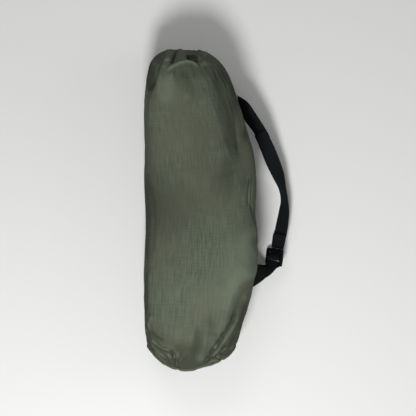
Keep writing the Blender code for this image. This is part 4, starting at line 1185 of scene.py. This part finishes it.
# Points on the long webbing near the lock, counted from its end
LOCK_BEND_START = -31
LOCK_BEND_END = -4
CENTRE_BAR = (-1.0, 0.8)
CENTRE_BAR_RADIUS = 1.9
CENTRE_BAR_CLEARANCE = 0.45
CENTRE_BAR_TURN = range(-10, 196, 12)
LOADED_LAYER = -3.2
TAIL_LAYER = LOADED_LAYER + LAYER
LOCK_MOUTH = -17.0
TAIL_LENGTH = 24.0
TAIL_HEM = 9.0
TAIL_WIDTH = 0.985
STEPS = 10
LAP_ROWS = STEPS * 2 // 3 + 1
TURNED_ROWS = 4
TURNED_THICKNESS = 2.1
BOX_SIDE = 0.78
BOX_STEPS = 8
OVER_WEBBING = 0.05
SELVEDGE_STEPS = 8
SELVEDGE_ANGLE = radians(50)
HEM_ROW_HALF = 0.8
# Mouldings: edges sharper than the first angle are rounded, and sharper than the second are shaded so
ROUNDED_FROM = radians(28)
SHARP_FROM = radians(40)


def lock_axes():
    bars = (LOCK_BARS - LOCK_ALONG * LOCK_BARS.dot(LOCK_ALONG)).normalized()
    return bars, LOCK_ALONG.cross(bars)


def in_lock(along, out):
    return LOCK_CENTRE + LOCK_ALONG * along + lock_axes()[1] * out


def curve_through(points, steps):
    """A smooth curve through all the points, as a list of vectors."""
    points = [Vector(p) for p in points]
    padded = [2 * points[0] - points[1]] + points + [2 * points[-1] - points[-2]]
    route = []
    for index in range(1, len(padded) - 2):
        p0, p1, p2, p3 = padded[index - 1:index + 3]
        for step in range(steps):
            t = step / steps
            route.append(0.5 * (2 * p1 + (p2 - p0) * t + (2 * p0 - 5 * p1 + 4 * p2 - p3) * t * t
                                + (3 * p1 - p0 - 3 * p2 + p3) * t ** 3))
    route.append(points[-1])
    return route


def smoothed(centres, halves, steps=STEPS):
    """Finer centres and half-widths along a strip."""
    fine = []
    for index, half in enumerate(curve_through(halves, steps)):
        low = min(index // steps, len(halves) - 1)
        high = min(low + 1, len(halves) - 1)
        share = index / steps - low
        fine.append(half.normalized() * (halves[low].length * (1 - share) + halves[high].length * share))
    return curve_through(centres, steps), fine


def tilted_half(ahead, tilt):
    level = Vector((-ahead.y, ahead.x, 0)).normalized()
    if level.x < 0:
        level = -level
    return (level * cos(radians(tilt)) + UP * sin(radians(tilt))) * WEBBING_WIDTH / 2


def strip_end(edges):
    """The middle and the half-width of a strip's end, from its two edges."""
    return (edges[0] + edges[1]) / 2, (edges[0] - edges[1]) / 2


def strap_line():
    """Centres and half-widths of the strap from the lap to the ladder lock."""
    route = [Vector(stop[:3]) for stop in STRAP_ROUTE]
    route.append(in_lock(LOCK_MOUTH, LOADED_LAYER - LAYER / 2))
    halves = []
    for index, stop in enumerate(STRAP_ROUTE):
        halves.append(tilted_half(route[index + 1] - route[max(index - 1, 0)], stop[3]))
    halves.append(lock_axes()[0] * WEBBING_WIDTH / 2)
    return route, halves


def face_normals(centres, halves):
    normals = []
    for index, half in enumerate(halves):
        before = centres[max(index - 1, 0)]
        after = centres[min(index + 1, len(centres) - 1)]
        normals.append((after - before).cross(half).normalized())
    return normals


def lifted(centres, normals, amount):
    return [centre + normal * amount for centre, normal in zip(centres, normals)]


def strip_mesh(name, centres, halves, normals, thickness=None):
    """A woven strip with round selvedges. Its map is in metres: X across the strip, Y along it."""
    thickness = thickness or [WEBBING] * len(centres)
    shares = [2 * step / SELVEDGE_STEPS - 1 for step in range(SELVEDGE_STEPS + 1)]
    section = [(across, 1) for across in shares] + [(-across, -1) for across in shares]
    points, map_points, run = [], [], 0.0
    before = centres[0]
    for centre, half, normal, thick in zip(centres, halves, normals, thickness):
        run += (centre - before).length
        before = centre
        for across, face in section:
            curl = 1 - (1 - abs(across)) ** 0.5 if abs(across) > 0.7 else 0
            reach = 1 - 0.5 * thick / half.length * curl * 0.6
            round_off = 1.0 if abs(across) < 0.95 else 0.45
            points.append(centre + half * across * reach + normal * face * thick / 2 * round_off)
            map_points.append((across * half.length, run))
    rows, count = len(centres), len(section)
    mesh = closed_mesh(name, points, ring_faces(rows, count) + flat_ends(rows, count), map_points)
    mesh.set_sharp_from_angle(angle=SELVEDGE_ANGLE)
    return mesh


def bent_piece(name, mesh, material, bodies, start, end, *replaced):
    """A strip across a joint. The bodies, start and end are not used."""
    made = finished(name, mesh, material)
    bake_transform(made)
    dressed(made, "black_webbing", *replaced)


def bent_with_lock(name, mesh, material, fine, *replaced):
    """A strip at the ladder lock, over the webbing's last stretch."""
    bent_piece(name, mesh, material, ("shoulder_strap", "ladder_lock_body"),
               fine[LOCK_BEND_START], fine[LOCK_BEND_END], *replaced)


def lap_box(fine, halves, normals):
    """The box and cross that hold the lap: one route round it and over one diagonal, and the other."""
    surface = lifted(fine, normals, LAYER / 2 + WEBBING / 2 + OVER_WEBBING)
    last = LAP_ROWS - 1
    corners = [(0, BOX_SIDE), (0, -BOX_SIDE), (last, -BOX_SIDE), (last, BOX_SIDE), (0, BOX_SIDE),
               (last, -BOX_SIDE)]
    box = []
    for (start_row, start_side), (end_row, end_side) in zip(corners, corners[1:]):
        for step in range(BOX_STEPS + 1):
            t = step / BOX_STEPS
            row = start_row * (1 - t) + end_row * t
            side = start_side * (1 - t) + end_side * t
            low = min(int(row), last - 1)
            centre = surface[low].lerp(surface[low + 1], row - low)
            box.append(centre + halves[low].lerp(halves[low + 1], row - low) * side)
    return [box, [surface[0] - halves[0] * BOX_SIDE, surface[last] + halves[last] * BOX_SIDE]]


def shoulder_strap():
    """The long webbing, the tab under its lap, and the lap's stitches. Gives the strap's fine line."""
    route, halves = strap_line()
    fine, fine_halves = smoothed(route, halves)
    normals = face_normals(fine, fine_halves)
    folded = [WEBBING * (TURNED_THICKNESS if row < TURNED_ROWS else 1.0) for row in range(len(fine))]
    raised = [centre + normal * (LAYER / 2 + (thick - WEBBING) / 2)
              for centre, normal, thick in zip(fine, normals, folded)]
    mesh = strip_mesh("strap_long_webbing", raised, fine_halves, normals, folded)
    bent_with_lock("strap_long_webbing", mesh, webbing, fine, "strap_webbing")

    root, root_half = strip_end(UPPER_SEAM)
    middle = Vector(TAB_MIDDLE[:3])
    middle_half = tilted_half(route[0] - root, TAB_MIDDLE[3])
    turn_half = TAB_TURN[1].normalized() * WEBBING_WIDTH / 2
    tab, tab_halves = smoothed([root, TAB_TURN[0], middle, *route[:2]],
                               [root_half, turn_half, middle_half, *halves[:2]])
    free = 3 * STEPS
    tab = tab[:free] + fine[:LAP_ROWS]
    tab_halves = tab_halves[:free] + fine_halves[:LAP_ROWS]
    tab_normals = face_normals(tab, tab_halves)[:free] + normals[:LAP_ROWS]
    mesh = strip_mesh("strap_upper_tab", lifted(tab, tab_normals, -LAYER / 2), tab_halves, tab_normals)
    bent_piece("strap_upper_tab", mesh, webbing, ("carry_bag", "shoulder_strap"), root,
               root.lerp(middle, 0.9), "strap_tab_upper")

    routes = lap_box(fine, fine_halves, normals)
    mesh = sewing("strap_lap_stitches", routes, black_thread, STRAP_STITCH)
    piece("strap_lap_stitches", mesh, black_thread, "shoulder_strap", "black_webbing")
    return fine, fine_halves


def anchor():
    """The loop of webbing from the lower side seam round the ladder lock's rear bar."""
    bars = lock_axes()[0]
    bar = in_lock(REAR_BAR_Y, 0)
    full = bars * WEBBING_WIDTH / 2
    bend, bend_half = strip_end(ANCHOR_BEND)
    root, root_half = strip_end(LOWER_SEAM)
    away = bend - bar
    away = (away - bars * away.dot(bars)).normalized()
    centres, halves = smoothed([bar + away * ANCHOR_ENTRY, bend, root], [full, bend_half, root_half])
    normals = face_normals(centres, halves)
    square = (normals[0] - away * normals[0].dot(away)).normalized()
    radials = [away * cos(radians(a)) + square * sin(radians(a)) for a in REAR_BAR_TURN]
    snug = REAR_BAR_RADIUS + BAR_CLEARANCE + WEBBING / 2
    turn = [bar + radial * (snug + LOOP_SLACK * max(0.0, -radial.dot(LOCK_ALONG)) ** 3)
            for radial in radials]
    gap = (WEBBING + LOOP_GAP) / 2
    loop = lifted(centres, normals, gap)[::-1] + turn + lifted(centres, normals, -gap)
    loop_normals = normals[::-1] + radials + [-normal for normal in normals]
    loop_halves = halves[::-1] + [full] * len(turn) + halves
    mesh = strip_mesh("strap_anchor_loop", loop, loop_halves, loop_normals)
    bent_piece("strap_anchor_loop", mesh, webbing, ("carry_bag", "shoulder_strap"), root, bend,
               "strap_tab_lower")


def lock_webbing():
    """The strap where it turns round the lock's centre bar."""
    half = lock_axes()[0] * WEBBING_WIDTH / 2
    around = CENTRE_BAR_RADIUS + CENTRE_BAR_CLEARANCE + WEBBING / 2
    path = [(LOCK_MOUTH + 0.3, LOADED_LAYER), (-11.0, LOADED_LAYER), (-6.0, -2.9)]
    path += [(CENTRE_BAR[0] + around * sin(radians(a)), CENTRE_BAR[1] - around * cos(radians(a)))
             for a in CENTRE_BAR_TURN]
    path += [(-5.6, 2.2), (-7.8, -0.2), (-10.4, TAIL_LAYER), (LOCK_MOUTH + 0.3, TAIL_LAYER)]
    centres = [in_lock(*place) for place in path]
    halves = [half] * len(centres)
    mesh = strip_mesh("lock_webbing_turn", centres, halves, face_normals(centres, halves))
    piece("lock_webbing_turn", mesh, webbing, "ladder_lock_body", "black_webbing", "strap_wrap")


def free_end(fine, fine_halves):
    """The webbing's free end, back along the strap, with its folded hem and one row of stitches."""
    back, back_halves = fine[::-1], fine_halves[::-1]
    normals = [-normal for normal in face_normals(back, back_halves)]
    centres, widths, thick, travelled = [], [], [], 0.0
    for index, place in enumerate(back):
        travelled += (place - back[index - 1]).length if index else 0.0
        if travelled > TAIL_LENGTH:
            break
        hemmed = travelled > TAIL_LENGTH - TAIL_HEM
        thick.append(WEBBING * 2 if hemmed else WEBBING)
        centres.append(place + normals[index] * (LAYER * 1.5 + 0.2 + (WEBBING / 2 if hemmed else 0)))
        widths.append(back_halves[index] * TAIL_WIDTH)
    mesh = strip_mesh("strap_free_end", centres, widths, normals[:len(centres)], thick)
    bent_with_lock("strap_free_end", mesh, webbing, fine, "strap_tail")
    row = next(index for index, value in enumerate(thick) if value > WEBBING) + 1
    top = centres[row] + normals[row] * (thick[row] / 2 + OVER_WEBBING)
    line = [top - widths[row] * HEM_ROW_HALF, top + widths[row] * HEM_ROW_HALF]
    mesh = sewing("strap_hem_stitches", [line], black_thread, STRAP_STITCH)
    bent_with_lock("strap_hem_stitches", mesh, black_thread, fine)


def moulded_copy(name, bevel, body):
    """A CAD moulding with its edges rounded."""
    mesh = nodes[name].data.copy()
    rounded = bmesh.new()
    rounded.from_mesh(mesh)
    bmesh.ops.remove_doubles(rounded, verts=rounded.verts, dist=1e-6)
    bmesh.ops.dissolve_limit(rounded, angle_limit=radians(1), verts=rounded.verts, edges=rounded.edges)
    edges = [e for e in rounded.edges if e.is_manifold and e.calc_face_angle() > ROUNDED_FROM]
    bmesh.ops.bevel(rounded, geom=edges, offset=bevel * MM, segments=2, profile=0.5, affect="EDGES",
                    clamp_overlap=True)
    rounded.to_mesh(mesh)
    rounded.free()
    mesh.shade_smooth()
    mesh.set_sharp_from_angle(angle=SHARP_FROM)
    mesh.name = name + "_moulding"
    piece(name + "_moulding", mesh, plastic, body, "black_plastic", name)


# The cot inside: the source's places, in millimetres

ROLL_ENDS = (-190.5, 190.5)
ROLL_FLAP = 98.0
ROLL_INSET = 3.4
ROLL_CLOTH = 0.8
ROLL_PITCH = 2.5
ROLL_TURNS = 3.6
ROLL_START = radians(-60)
ROLL_STEPS = 270
ROLL_SQUARE = 2 / SQUARENESS
FLAP_STOPS = [15.5 * step for step in range(6)]
FLAP_DEPTH = 1.25
# A flap's turn at the roll's end: half its depth, and how far it reaches
FLAP_TURN = 0.62
FLAP_TURN_REACH = 0.63
HALF_LENGTH = 190
RAIL_RADIUS = 8.0
RAIL_WALL = 1.2
RAIL_LENGTH = 410.0
RAIL_MIDDLE_Y = -5.0
SWAGE_RADIUS = 6.6
SWAGE_LENGTH = 30.0
# The end plug's bore, depth and fit, and its head as (radius, y)
PLUG_BORE = 2.1
PLUG_DEPTH = 12.0
PLUG_FIT = 0.3
PLUG_HEAD = ((7.3, -0.35), (7.6, -0.7), (7.6, -2.2), (7.2, -3.6), (6.3, -4.6), (5.2, -5.0), (4.4, -5.0),
             (4.0, -4.7), (3.6, -0.6))
RAIL_PLACES = {
    "left": ((-37.6, 25.2), (-53.0, 34.0), (-53.0, 51.6), (-53.0, 69.2), (-37.6, 78.0)),
    "right": ((-37.6, 42.8), (-22.2, 34.0), (-22.2, 51.6), (-22.2, 69.2), (-37.6, 60.4)),
}
CORD_RADIUS = 1.5
KNOT_SWELL = 2.9 / CORD_RADIUS
KNOT_RUN = (4.8, 3.2, 1.4)
LEG_KNOT = (1.2, 2.88)
CORD_STOPS = (0.1, 0.3, 0.5, 0.7, 0.9)
CORD_BOW = 8.0
CUT = 0.25
EDGE_ANGLE = radians(38)
LEG_MIDDLES = ((17.4, -25.0, 37.0), (17.4, -25.0, 57.0), (17.4, -25.0, 77.0))
ARCH_RADIUS = 6.5
ARCH_WALL = 1.1
ARCH_HALF_SPAN = 147.0
ARCH_BOW = 9.0
ARCH_STRAIGHT = 22.0
STRUT_RADIUS = 6.0
STRUT_WALL = 1.0
STRUT_LENGTH = 262.0
STRUT_OFFSET_X = -24.0
STRUT_OUTER_Y = 157.0
FOOT_Y = 152.0
FOOT_SOCKET = (-10.3, 21.9)


def roll_points(y, angle, inset):
    """Points of the bag's even form, moved inwards, for arrays of places and angles."""
    knots = np.array(BAG_STATIONS)
    left, right, low, high = (np.interp(y, knots[:, 0], knots[:, column]) for column in (2, 3, 4, 5))
    x = (left + right) / 2 + ((right - left) / 2 - inset) * power(np.cos(angle), ROLL_SQUARE)
    z = (low + high) / 2 + ((high - low) / 2 - inset) * power(np.sin(angle), ROLL_SQUARE)
    return np.stack([x, y, np.maximum(z, inset)], axis=-1)


def dent_at(y, angle):
    """How far the bag's folds press in at a place: the roll gives way to them."""
    side_y = smooth_table(BAG_STATIONS, ROWS)[:, 0]
    row = np.clip(np.round(np.interp(y, side_y, np.arange(ROWS))), 0, ROWS - 1).astype(int)
    column = np.round(np.interp(np.mod(angle, 2 * pi), column_angles(), np.arange(COLUMNS))).astype(int)
    return np.clip(-bag_dents[row, column] - 1.0, 0, 6)


def roll_profile():
    """The cloth from edge to edge, its two side flaps folded in under it, as (y, depth)."""
    first, last = ROLL_ENDS
    angles = np.linspace(0, pi, 7)
    turn = [(FLAP_TURN_REACH * (1 - sin(a)), FLAP_TURN - FLAP_TURN * cos(a)) for a in angles]
    line = [(first + ROLL_FLAP - stop, FLAP_DEPTH) for stop in FLAP_STOPS]
    line += [(first + inset, depth) for inset, depth in turn[::-1]]
    line += [(first + (last - first) * share, 0.0) for share in np.linspace(0.03, 0.97, 20)]
    line += [(last - inset, depth) for inset, depth in turn]
    line += [(last - ROLL_FLAP + stop, FLAP_DEPTH) for stop in FLAP_STOPS[::-1]]
    line = np.array(line)
    along = np.gradient(line, axis=0)
    square = np.stack([along[:, 1], -along[:, 0]], axis=1)
    square /= np.linalg.norm(square, axis=1, keepdims=True)
    return np.concatenate([line + square * ROLL_CLOTH / 2, (line - square * ROLL_CLOTH / 2)[::-1]])


def bed_roll():
    """The bed cloth, rolled round the frame in loose turns that give way to the bag's folds."""
    profile = roll_profile()
    count = len(profile)
    turns = ROLL_TURNS * np.linspace(0, 1, ROLL_STEPS + 1)[:, None]
    angle = ROLL_START + 2 * pi * turns + 0 * profile[None, :, 0]
    y = profile[None, :, 0] + 0 * turns
    outer = 1 - turns / ROLL_TURNS
    slack = 0.3 * wave_noise(angle, y, 51) * np.clip(turns, 0.2, 1) * outer
    edge = (np.abs(y) / HALF_LENGTH) ** 6 * np.sign(y)
    uneven = edge * (0.9 * np.sin(2 * angle + turns) + 0.6 * np.sin(5 * angle))
    inset = ROLL_INSET + ROLL_PITCH * turns + profile[None, :, 1] + dent_at(y, angle) * outer + slack
    grid = roll_points(y + uneven - 1.5 * edge, angle, inset)
    points = [tuple(p) for p in grid.reshape(-1, 3)]
    rows = ROLL_STEPS + 1
    run = running_length(grid[:, count // 4])
    across = profile[:, 0] + profile[:, 1]
    map_points = [(across[step], run[row]) for row in range(rows) for step in range(count)]
    faces = ring_faces(rows, count) + flat_ends(rows, count)
    mesh = closed_mesh("rolled_bed_cloth", points, faces, map_points)
    made = piece("rolled_bed_cloth", mesh, bed, "packed_cot", "bed_cloth", "bed_sheet")


def turned_mesh(name, profile, steps=40):
    """A ring-shaped part: a closed (radius, y) profile turned about the Y axis."""
    points = [(radius * level, y, radius * raised) for level, raised in circle(steps)
              for radius, y in profile]
    mesh = closed_mesh(name, points, ring_faces(steps, len(profile), True))
    mesh.set_sharp_from_angle(angle=EDGE_ANGLE)
    return mesh


def tube_profile(half, radius, wall, swaged):
    """A drawn tube's wall, with its cut ends just broken by a file."""
    bore = radius - wall
    near = [(bore, -half + CUT), (bore + CUT, -half), (radius - CUT, -half), (radius, -half + CUT)]
    if not swaged:
        return near + [(radius, half - CUT), (radius - CUT, half), (bore + CUT, half), (bore, half - CUT)]
    shoulder = half - SWAGE_LENGTH
    slim = SWAGE_RADIUS - wall
    neck = [(radius, shoulder - 3.0), (radius - 0.3, shoulder - 1.6), (SWAGE_RADIUS + 0.3, shoulder - 0.4),
            (SWAGE_RADIUS, shoulder + 1.0)]
    tip = [(SWAGE_RADIUS, half - CUT), (SWAGE_RADIUS - CUT, half), (slim + CUT, half), (slim, half - CUT)]
    return near + neck + tip + [(slim, shoulder - 2.0), (bore, shoulder - 6.0)]


def repeated_part_tree():
    """One part set at each point of a mesh, turned about Z by the point's half_turns."""
    inputs = [("Places", "Geometry", None), ("Part", "Object", None), ("Finish", "Material", None)]
    tree, given, made = new_tree("repeated_part", "Geometry", inputs, [("Parts", "Geometry")])
    part = tree.nodes.new("GeometryNodeObjectInfo")
    halves = tree.nodes.new("GeometryNodeInputNamedAttribute")
    halves.data_type = "FLOAT"
    given_values(halves, Name="half_turns")
    turn = tree.nodes.new("ShaderNodeCombineXYZ")
    set_out = tree.nodes.new("GeometryNodeInstanceOnPoints")
    join(tree, (given.outputs["Part"], part.inputs["Object"]),
         (given.outputs["Places"], set_out.inputs["Points"]),
         (part.outputs["Geometry"], set_out.inputs["Instance"]),
         (times(tree, halves.outputs["Attribute"], pi), turn.inputs["Z"]),
         (turn.outputs["Vector"], set_out.inputs["Rotation"]))
    made_real(tree, given, set_out.outputs["Instances"], made)
    return tree


repeated_part = repeated_part_tree()


def repeated(name, part, places, material, slot, replaced):
    """One mesh with a copy of the part at each (x, y, z, half turns)."""
    points = bpy.data.meshes.new(name + "_places")
    points.from_pydata([Vector(place[:3]) * MM for place in places], [], [])
    turns = points.attributes.new("half_turns", "FLOAT", "POINT")
    turns.data.foreach_set("value", [place[3] for place in places])
    master = in_scene(name + "_part", part)
    values = {"Part": master, "Finish": material}
    mesh = applied(in_scene(name + "_places", points), repeated_part, values)
    bpy.data.objects.remove(master)
    mesh.name = name
    piece(name, mesh, material, "packed_cot", slot, *replaced)


def rail_cord_route(stops):
    """A shock cord through its rail's sections, with a bow from each into the next and a knot outside
    both ends. The stops are the sections' starts and finishes, in turn."""
    route = [stops[0] - Vector((0, run, 0)) for run in KNOT_RUN]
    for index in range(1, len(stops), 2):
        route += [stops[index - 1].lerp(stops[index], share) for share in CORD_STOPS]
        if index + 1 == len(stops):
            break
        first, second = stops[index], stops[index + 1]
        reach = CORD_BOW if first.y > RAIL_MIDDLE_Y else -CORD_BOW
        for angle in range(0, 181, 12):
            bow = Vector((0, reach * sin(radians(angle)), 0))
            route.append((first + second) / 2 + (first - second) / 2 * cos(radians(angle)) + bow)
    return route + [stops[-1] + Vector((0, run, 0)) for run in KNOT_RUN[::-1]]


def side_rails():
    """The ten tube sections in their bundle, the end plugs and the two shock cords."""
    half = RAIL_LENGTH / 2
    near, far = RAIL_MIDDLE_Y - half, RAIL_MIDDLE_Y + half
    sections, ends, section_names, end_names = [], [], [], []
    for side, centres in RAIL_PLACES.items():
        stops = []
        for index, (x, z) in enumerate(centres):
            last = index == len(centres) - 1
            (ends if last else sections).append((x, RAIL_MIDDLE_Y, z, index % 2))
            (end_names if last else section_names).append(f"rail_{side}_{index + 1}")
            start, finish = (near, far) if index % 2 == 0 else (far, near)
            stops += [Vector((x, start, z)), Vector((x, finish, z))]
        route = rail_cord_route(stops)
        sizes = [1.2, KNOT_SWELL, 1.3] + [1.0] * (len(route) - 6) + [1.3, KNOT_SWELL, 1.2]
        name = f"rail_shock_cord_{side}"
        mesh = round_bar(name, route, CORD_RADIUS, sizes=sizes)
        piece(name, mesh, elastic, "packed_cot", "shock_cord", f"rail_cord_{side}")
    swaged = turned_mesh("rail_section", tube_profile(half, RAIL_RADIUS, RAIL_WALL, True))
    plain = turned_mesh("rail_end_section", tube_profile(half, RAIL_RADIUS, RAIL_WALL, False))
    repeated("rail_tubes", swaged, sections, alloy, "anodised_tube", section_names)
    repeated("rail_end_tubes", plain, ends, alloy, "anodised_tube", end_names)

    spigot = RAIL_RADIUS - RAIL_WALL - PLUG_FIT
    plug = [(PLUG_BORE, PLUG_DEPTH), (spigot - 0.8, PLUG_DEPTH), (spigot, PLUG_DEPTH - 1.5),
            (spigot, -0.35), *PLUG_HEAD, (PLUG_BORE, -0.2)]
    places = []
    for index, y, turn in ((0, near, 0), (-1, far, 1)):
        for side in RAIL_PLACES:
            x, z = RAIL_PLACES[side][index]
            places.append((x, y, z, turn))
    names = [f"rail_cap_{side}_{end}" for end in ("foot", "head") for side in RAIL_PLACES]
    plug_mesh = turned_mesh("rail_end_plug", plug)
    repeated("rail_end_plugs", plug_mesh, places, plastic, "black_plastic", names)


def arch_route(steps):
    """The arch's middle line: a short straight end, the bow, and the other end."""
    bowed = ARCH_HALF_SPAN - ARCH_STRAIGHT
    route = [Vector((0, -ARCH_HALF_SPAN, 0)), Vector((0, -ARCH_HALF_SPAN + 12, 0))]
    for step in range(steps + 1):
        share = 2 * step / steps - 1
        route.append(Vector((ARCH_BOW * (1 - share ** 2) ** 2, bowed * share, 0)))
    return route + [Vector((0, ARCH_HALF_SPAN - 12, 0)), Vector((0, ARCH_HALF_SPAN, 0))]


def bowed_tube(name, route, radius, wall, sides=36):
    """An open tube along a level route, with its cut ends just broken."""
    rings = []
    for index, place in enumerate(route):
        along = (route[min(index + 1, len(route) - 1)] - route[max(index - 1, 0)]).normalized()
        across = along.cross(UP).normalized()
        rings.append((place, across, along))
    first, last = rings[0], rings[-1]
    outer = [(first[0], first[1], radius - CUT), (first[0] + first[2] * CUT, first[1], radius)]
    outer += [(place, across, radius) for place, across, _ in rings[1:-1]]
    outer += [(last[0] - last[2] * CUT, last[1], radius), (last[0], last[1], radius - CUT)]
    inner = [(place, across, radius - wall) for place, across, _ in reversed(rings)]
    points = []
    for place, across, size in outer + inner:
        points += [place + across * level * size + UP * raised * size for level, raised in circle(sides)]
    mesh = closed_mesh(name, points, ring_faces(len(outer + inner), sides, True))
    mesh.set_sharp_from_angle(angle=EDGE_ANGLE)
    return mesh


def leg_sets():
    """The bowed arches, struts, feet, hooks and cords of the three leg sets."""
    arches = [(*middle, 0) for middle in LEG_MIDDLES]
    names = [f"leg_arch_{number}" for number in (1, 2, 3)]
    arch = bowed_tube("bowed_arch", arch_route(28), ARCH_RADIUS, ARCH_WALL)
    repeated("leg_arch_tubes", arch, arches, alloy, "anodised_tube", names)
    strut_y = STRUT_OUTER_Y - STRUT_LENGTH / 2
    places, names = [], []
    for number, (x, y, z) in enumerate(LEG_MIDDLES, start=1):
        places += [(x + STRUT_OFFSET_X, y + strut_y, z, 0), (x - STRUT_OFFSET_X, y - strut_y, z, 1)]
        names += [f"leg_strut_{number}a", f"leg_strut_{number}b"]
    strut = turned_mesh("leg_strut", tube_profile(STRUT_LENGTH / 2, STRUT_RADIUS, STRUT_WALL, False), 36)
    repeated("leg_strut_tubes", strut, places, alloy, "anodised_tube", names)
    for number, middle in enumerate(LEG_MIDDLES, start=1):
        leg_cord(number, Vector(middle))
        for end in "ab":
            moulded_copy(f"leg_foot_{number}{end}", 0.5, "packed_cot")
            moulded_copy(f"rail_hook_{number}{end}", 0.4, "packed_cot")


def leg_cord(number, middle):
    """One shock cord from hook to hook, through strut, foot, arch, foot and strut."""
    strut_x, inner_y = STRUT_OFFSET_X, STRUT_OUTER_Y - STRUT_LENGTH
    socket_x, socket_y = FOOT_SOCKET[0], FOOT_Y + FOOT_SOCKET[1]
    places = ((strut_x, inner_y - 2.2), (strut_x, inner_y + 20), (strut_x, socket_y - 20),
              (strut_x, socket_y - 5), (strut_x + 2.6, socket_y + 1), (strut_x + 6.6, socket_y + 3.6),
              (strut_x + 10.4, socket_y + 2.8), (socket_x, socket_y), (-3.2, FOOT_Y + 7.5),
              (-0.6, FOOT_Y - 1.0), (0, FOOT_Y - 14.0))
    half = [Vector((x, y, 0)) for x, y in places]
    other = [-p for p in reversed(half)]
    arch = arch_route(12)[2:-2]
    route = [middle + p for p in curve_through(half + arch[::-1] + other, 4)]
    knot, tip = (Vector((0, run, 0)) for run in LEG_KNOT)
    route = [route[0] - tip, route[0] - knot] + route[1:-1] + [route[-1] + knot, route[-1] + tip]
    sizes = [1.3, KNOT_SWELL] + [1.0] * (len(route) - 4) + [KNOT_SWELL, 1.3]
    name = f"leg_shock_cord_{number}"
    mesh = round_bar(name, route, CORD_RADIUS, sizes=sizes)
    piece(name, mesh, elastic, "packed_cot", "shock_cord", f"leg_cord_{number}")


base_panel(bag_points[0])
seam_tape(bag_points[0])
bag_seams()
mouth_cord()
strap_middle, strap_halves = shoulder_strap()
anchor()
lock_webbing()
free_end(strap_middle, strap_halves)
moulded_copy("ladder_lock", 0.35, "ladder_lock_body")
bed_roll()
side_rails()
leg_sets()

finishes = {"olive_cloth": olive, "dark_trim": drawcord, "black_webbing": webbing,
            "black_plastic": plastic, "bed_cloth": bed, "anodised_tube": alloy, "shock_cord": elastic}
for part in frame["record"]["subparts"]:
    for holder in nodes[part["node"]].material_slots:
        holder.material = finishes[part["material_slot"]]


# Floor, light and camera, in metres

FLOOR_HALF = 6
SEEN_FLOOR = (0.64, 0.64, 0.63)
LIT_FLOOR = (0.16, 0.16, 0.16)
SKY_STRENGTH = 0.24
# Each lamp's name, place, size and watts
LAMPS = (
    ("key", (-0.2, -0.95, 1.35), 0.5, 27.3),
    ("side", (1.7, 0.2, 0.9), 1.2, 5.5),
    ("fill", (-0.5, 1.5, 1.8), 1.4, 10.0),
)
SENSOR_MM = 36.0
CAMERA_DISTANCE = 3.0
AIM_HEIGHT = 0.055


def ground():
    """A pale floor, dimmer to the object than to the camera, so that it throws little light back."""
    mesh = bpy.data.meshes.new("floor")
    corners = [(-FLOOR_HALF, -FLOOR_HALF, 0), (FLOOR_HALF, -FLOOR_HALF, 0), (FLOOR_HALF, FLOOR_HALF, 0),
               (-FLOOR_HALF, FLOOR_HALF, 0)]
    mesh.from_pydata(corners, [], [(0, 1, 2, 3)])
    floor = in_scene("floor", mesh)
    material, tree, shader = shader_of("pale_floor")
    path = tree.nodes.new("ShaderNodeLightPath")
    seen = plus(tree, path.outputs["Is Camera Ray"], path.outputs["Is Glossy Ray"])
    seen = math(tree, "ADD", seen, path.outputs["Is Transmission Ray"], clamp=True)
    tree.links.new(mixed(tree, seen, LIT_FLOOR, SEEN_FLOOR), shader.inputs["Base Color"])
    given_values(shader, Roughness=0.9, Specular_IOR_Level=0.1)
    mesh.materials.append(material)


def lamp(name, place, size, watts):
    light = bpy.data.lights.new(name, "AREA")
    light.energy = watts
    light.shape = "DISK"
    light.size = size
    holder = in_scene(name, light)
    holder.location = place
    holder.rotation_mode = "QUATERNION"
    holder.rotation_quaternion = (-Vector(place)).to_track_quat("-Z", "Y")


def studio():
    ground()
    for name, place, size, watts in LAMPS:
        lamp(name, place, size, watts)
    world = bpy.data.worlds.new("studio")
    world.use_nodes = True
    given_values(world.node_tree.nodes["Background"], Color=(1, 1, 1, 1), Strength=SKY_STRENGTH)
    bpy.context.scene.world = world
    bpy.context.scene.view_settings.view_transform = "Standard"

    camera = bpy.data.cameras.new("above")
    camera.sensor_width = SENSOR_MM
    camera.lens = SENSOR_MM / 2 * CAMERA_DISTANCE / (PHOTO_MIDDLE[0] * PIXEL * MM)
    holder = in_scene("above", camera)
    centre_x, centre_y = from_photo(PHOTO_MIDDLE)
    holder.location = (centre_x * MM, centre_y * MM, CAMERA_DISTANCE + AIM_HEIGHT)
    bpy.context.scene.camera = holder


studio()
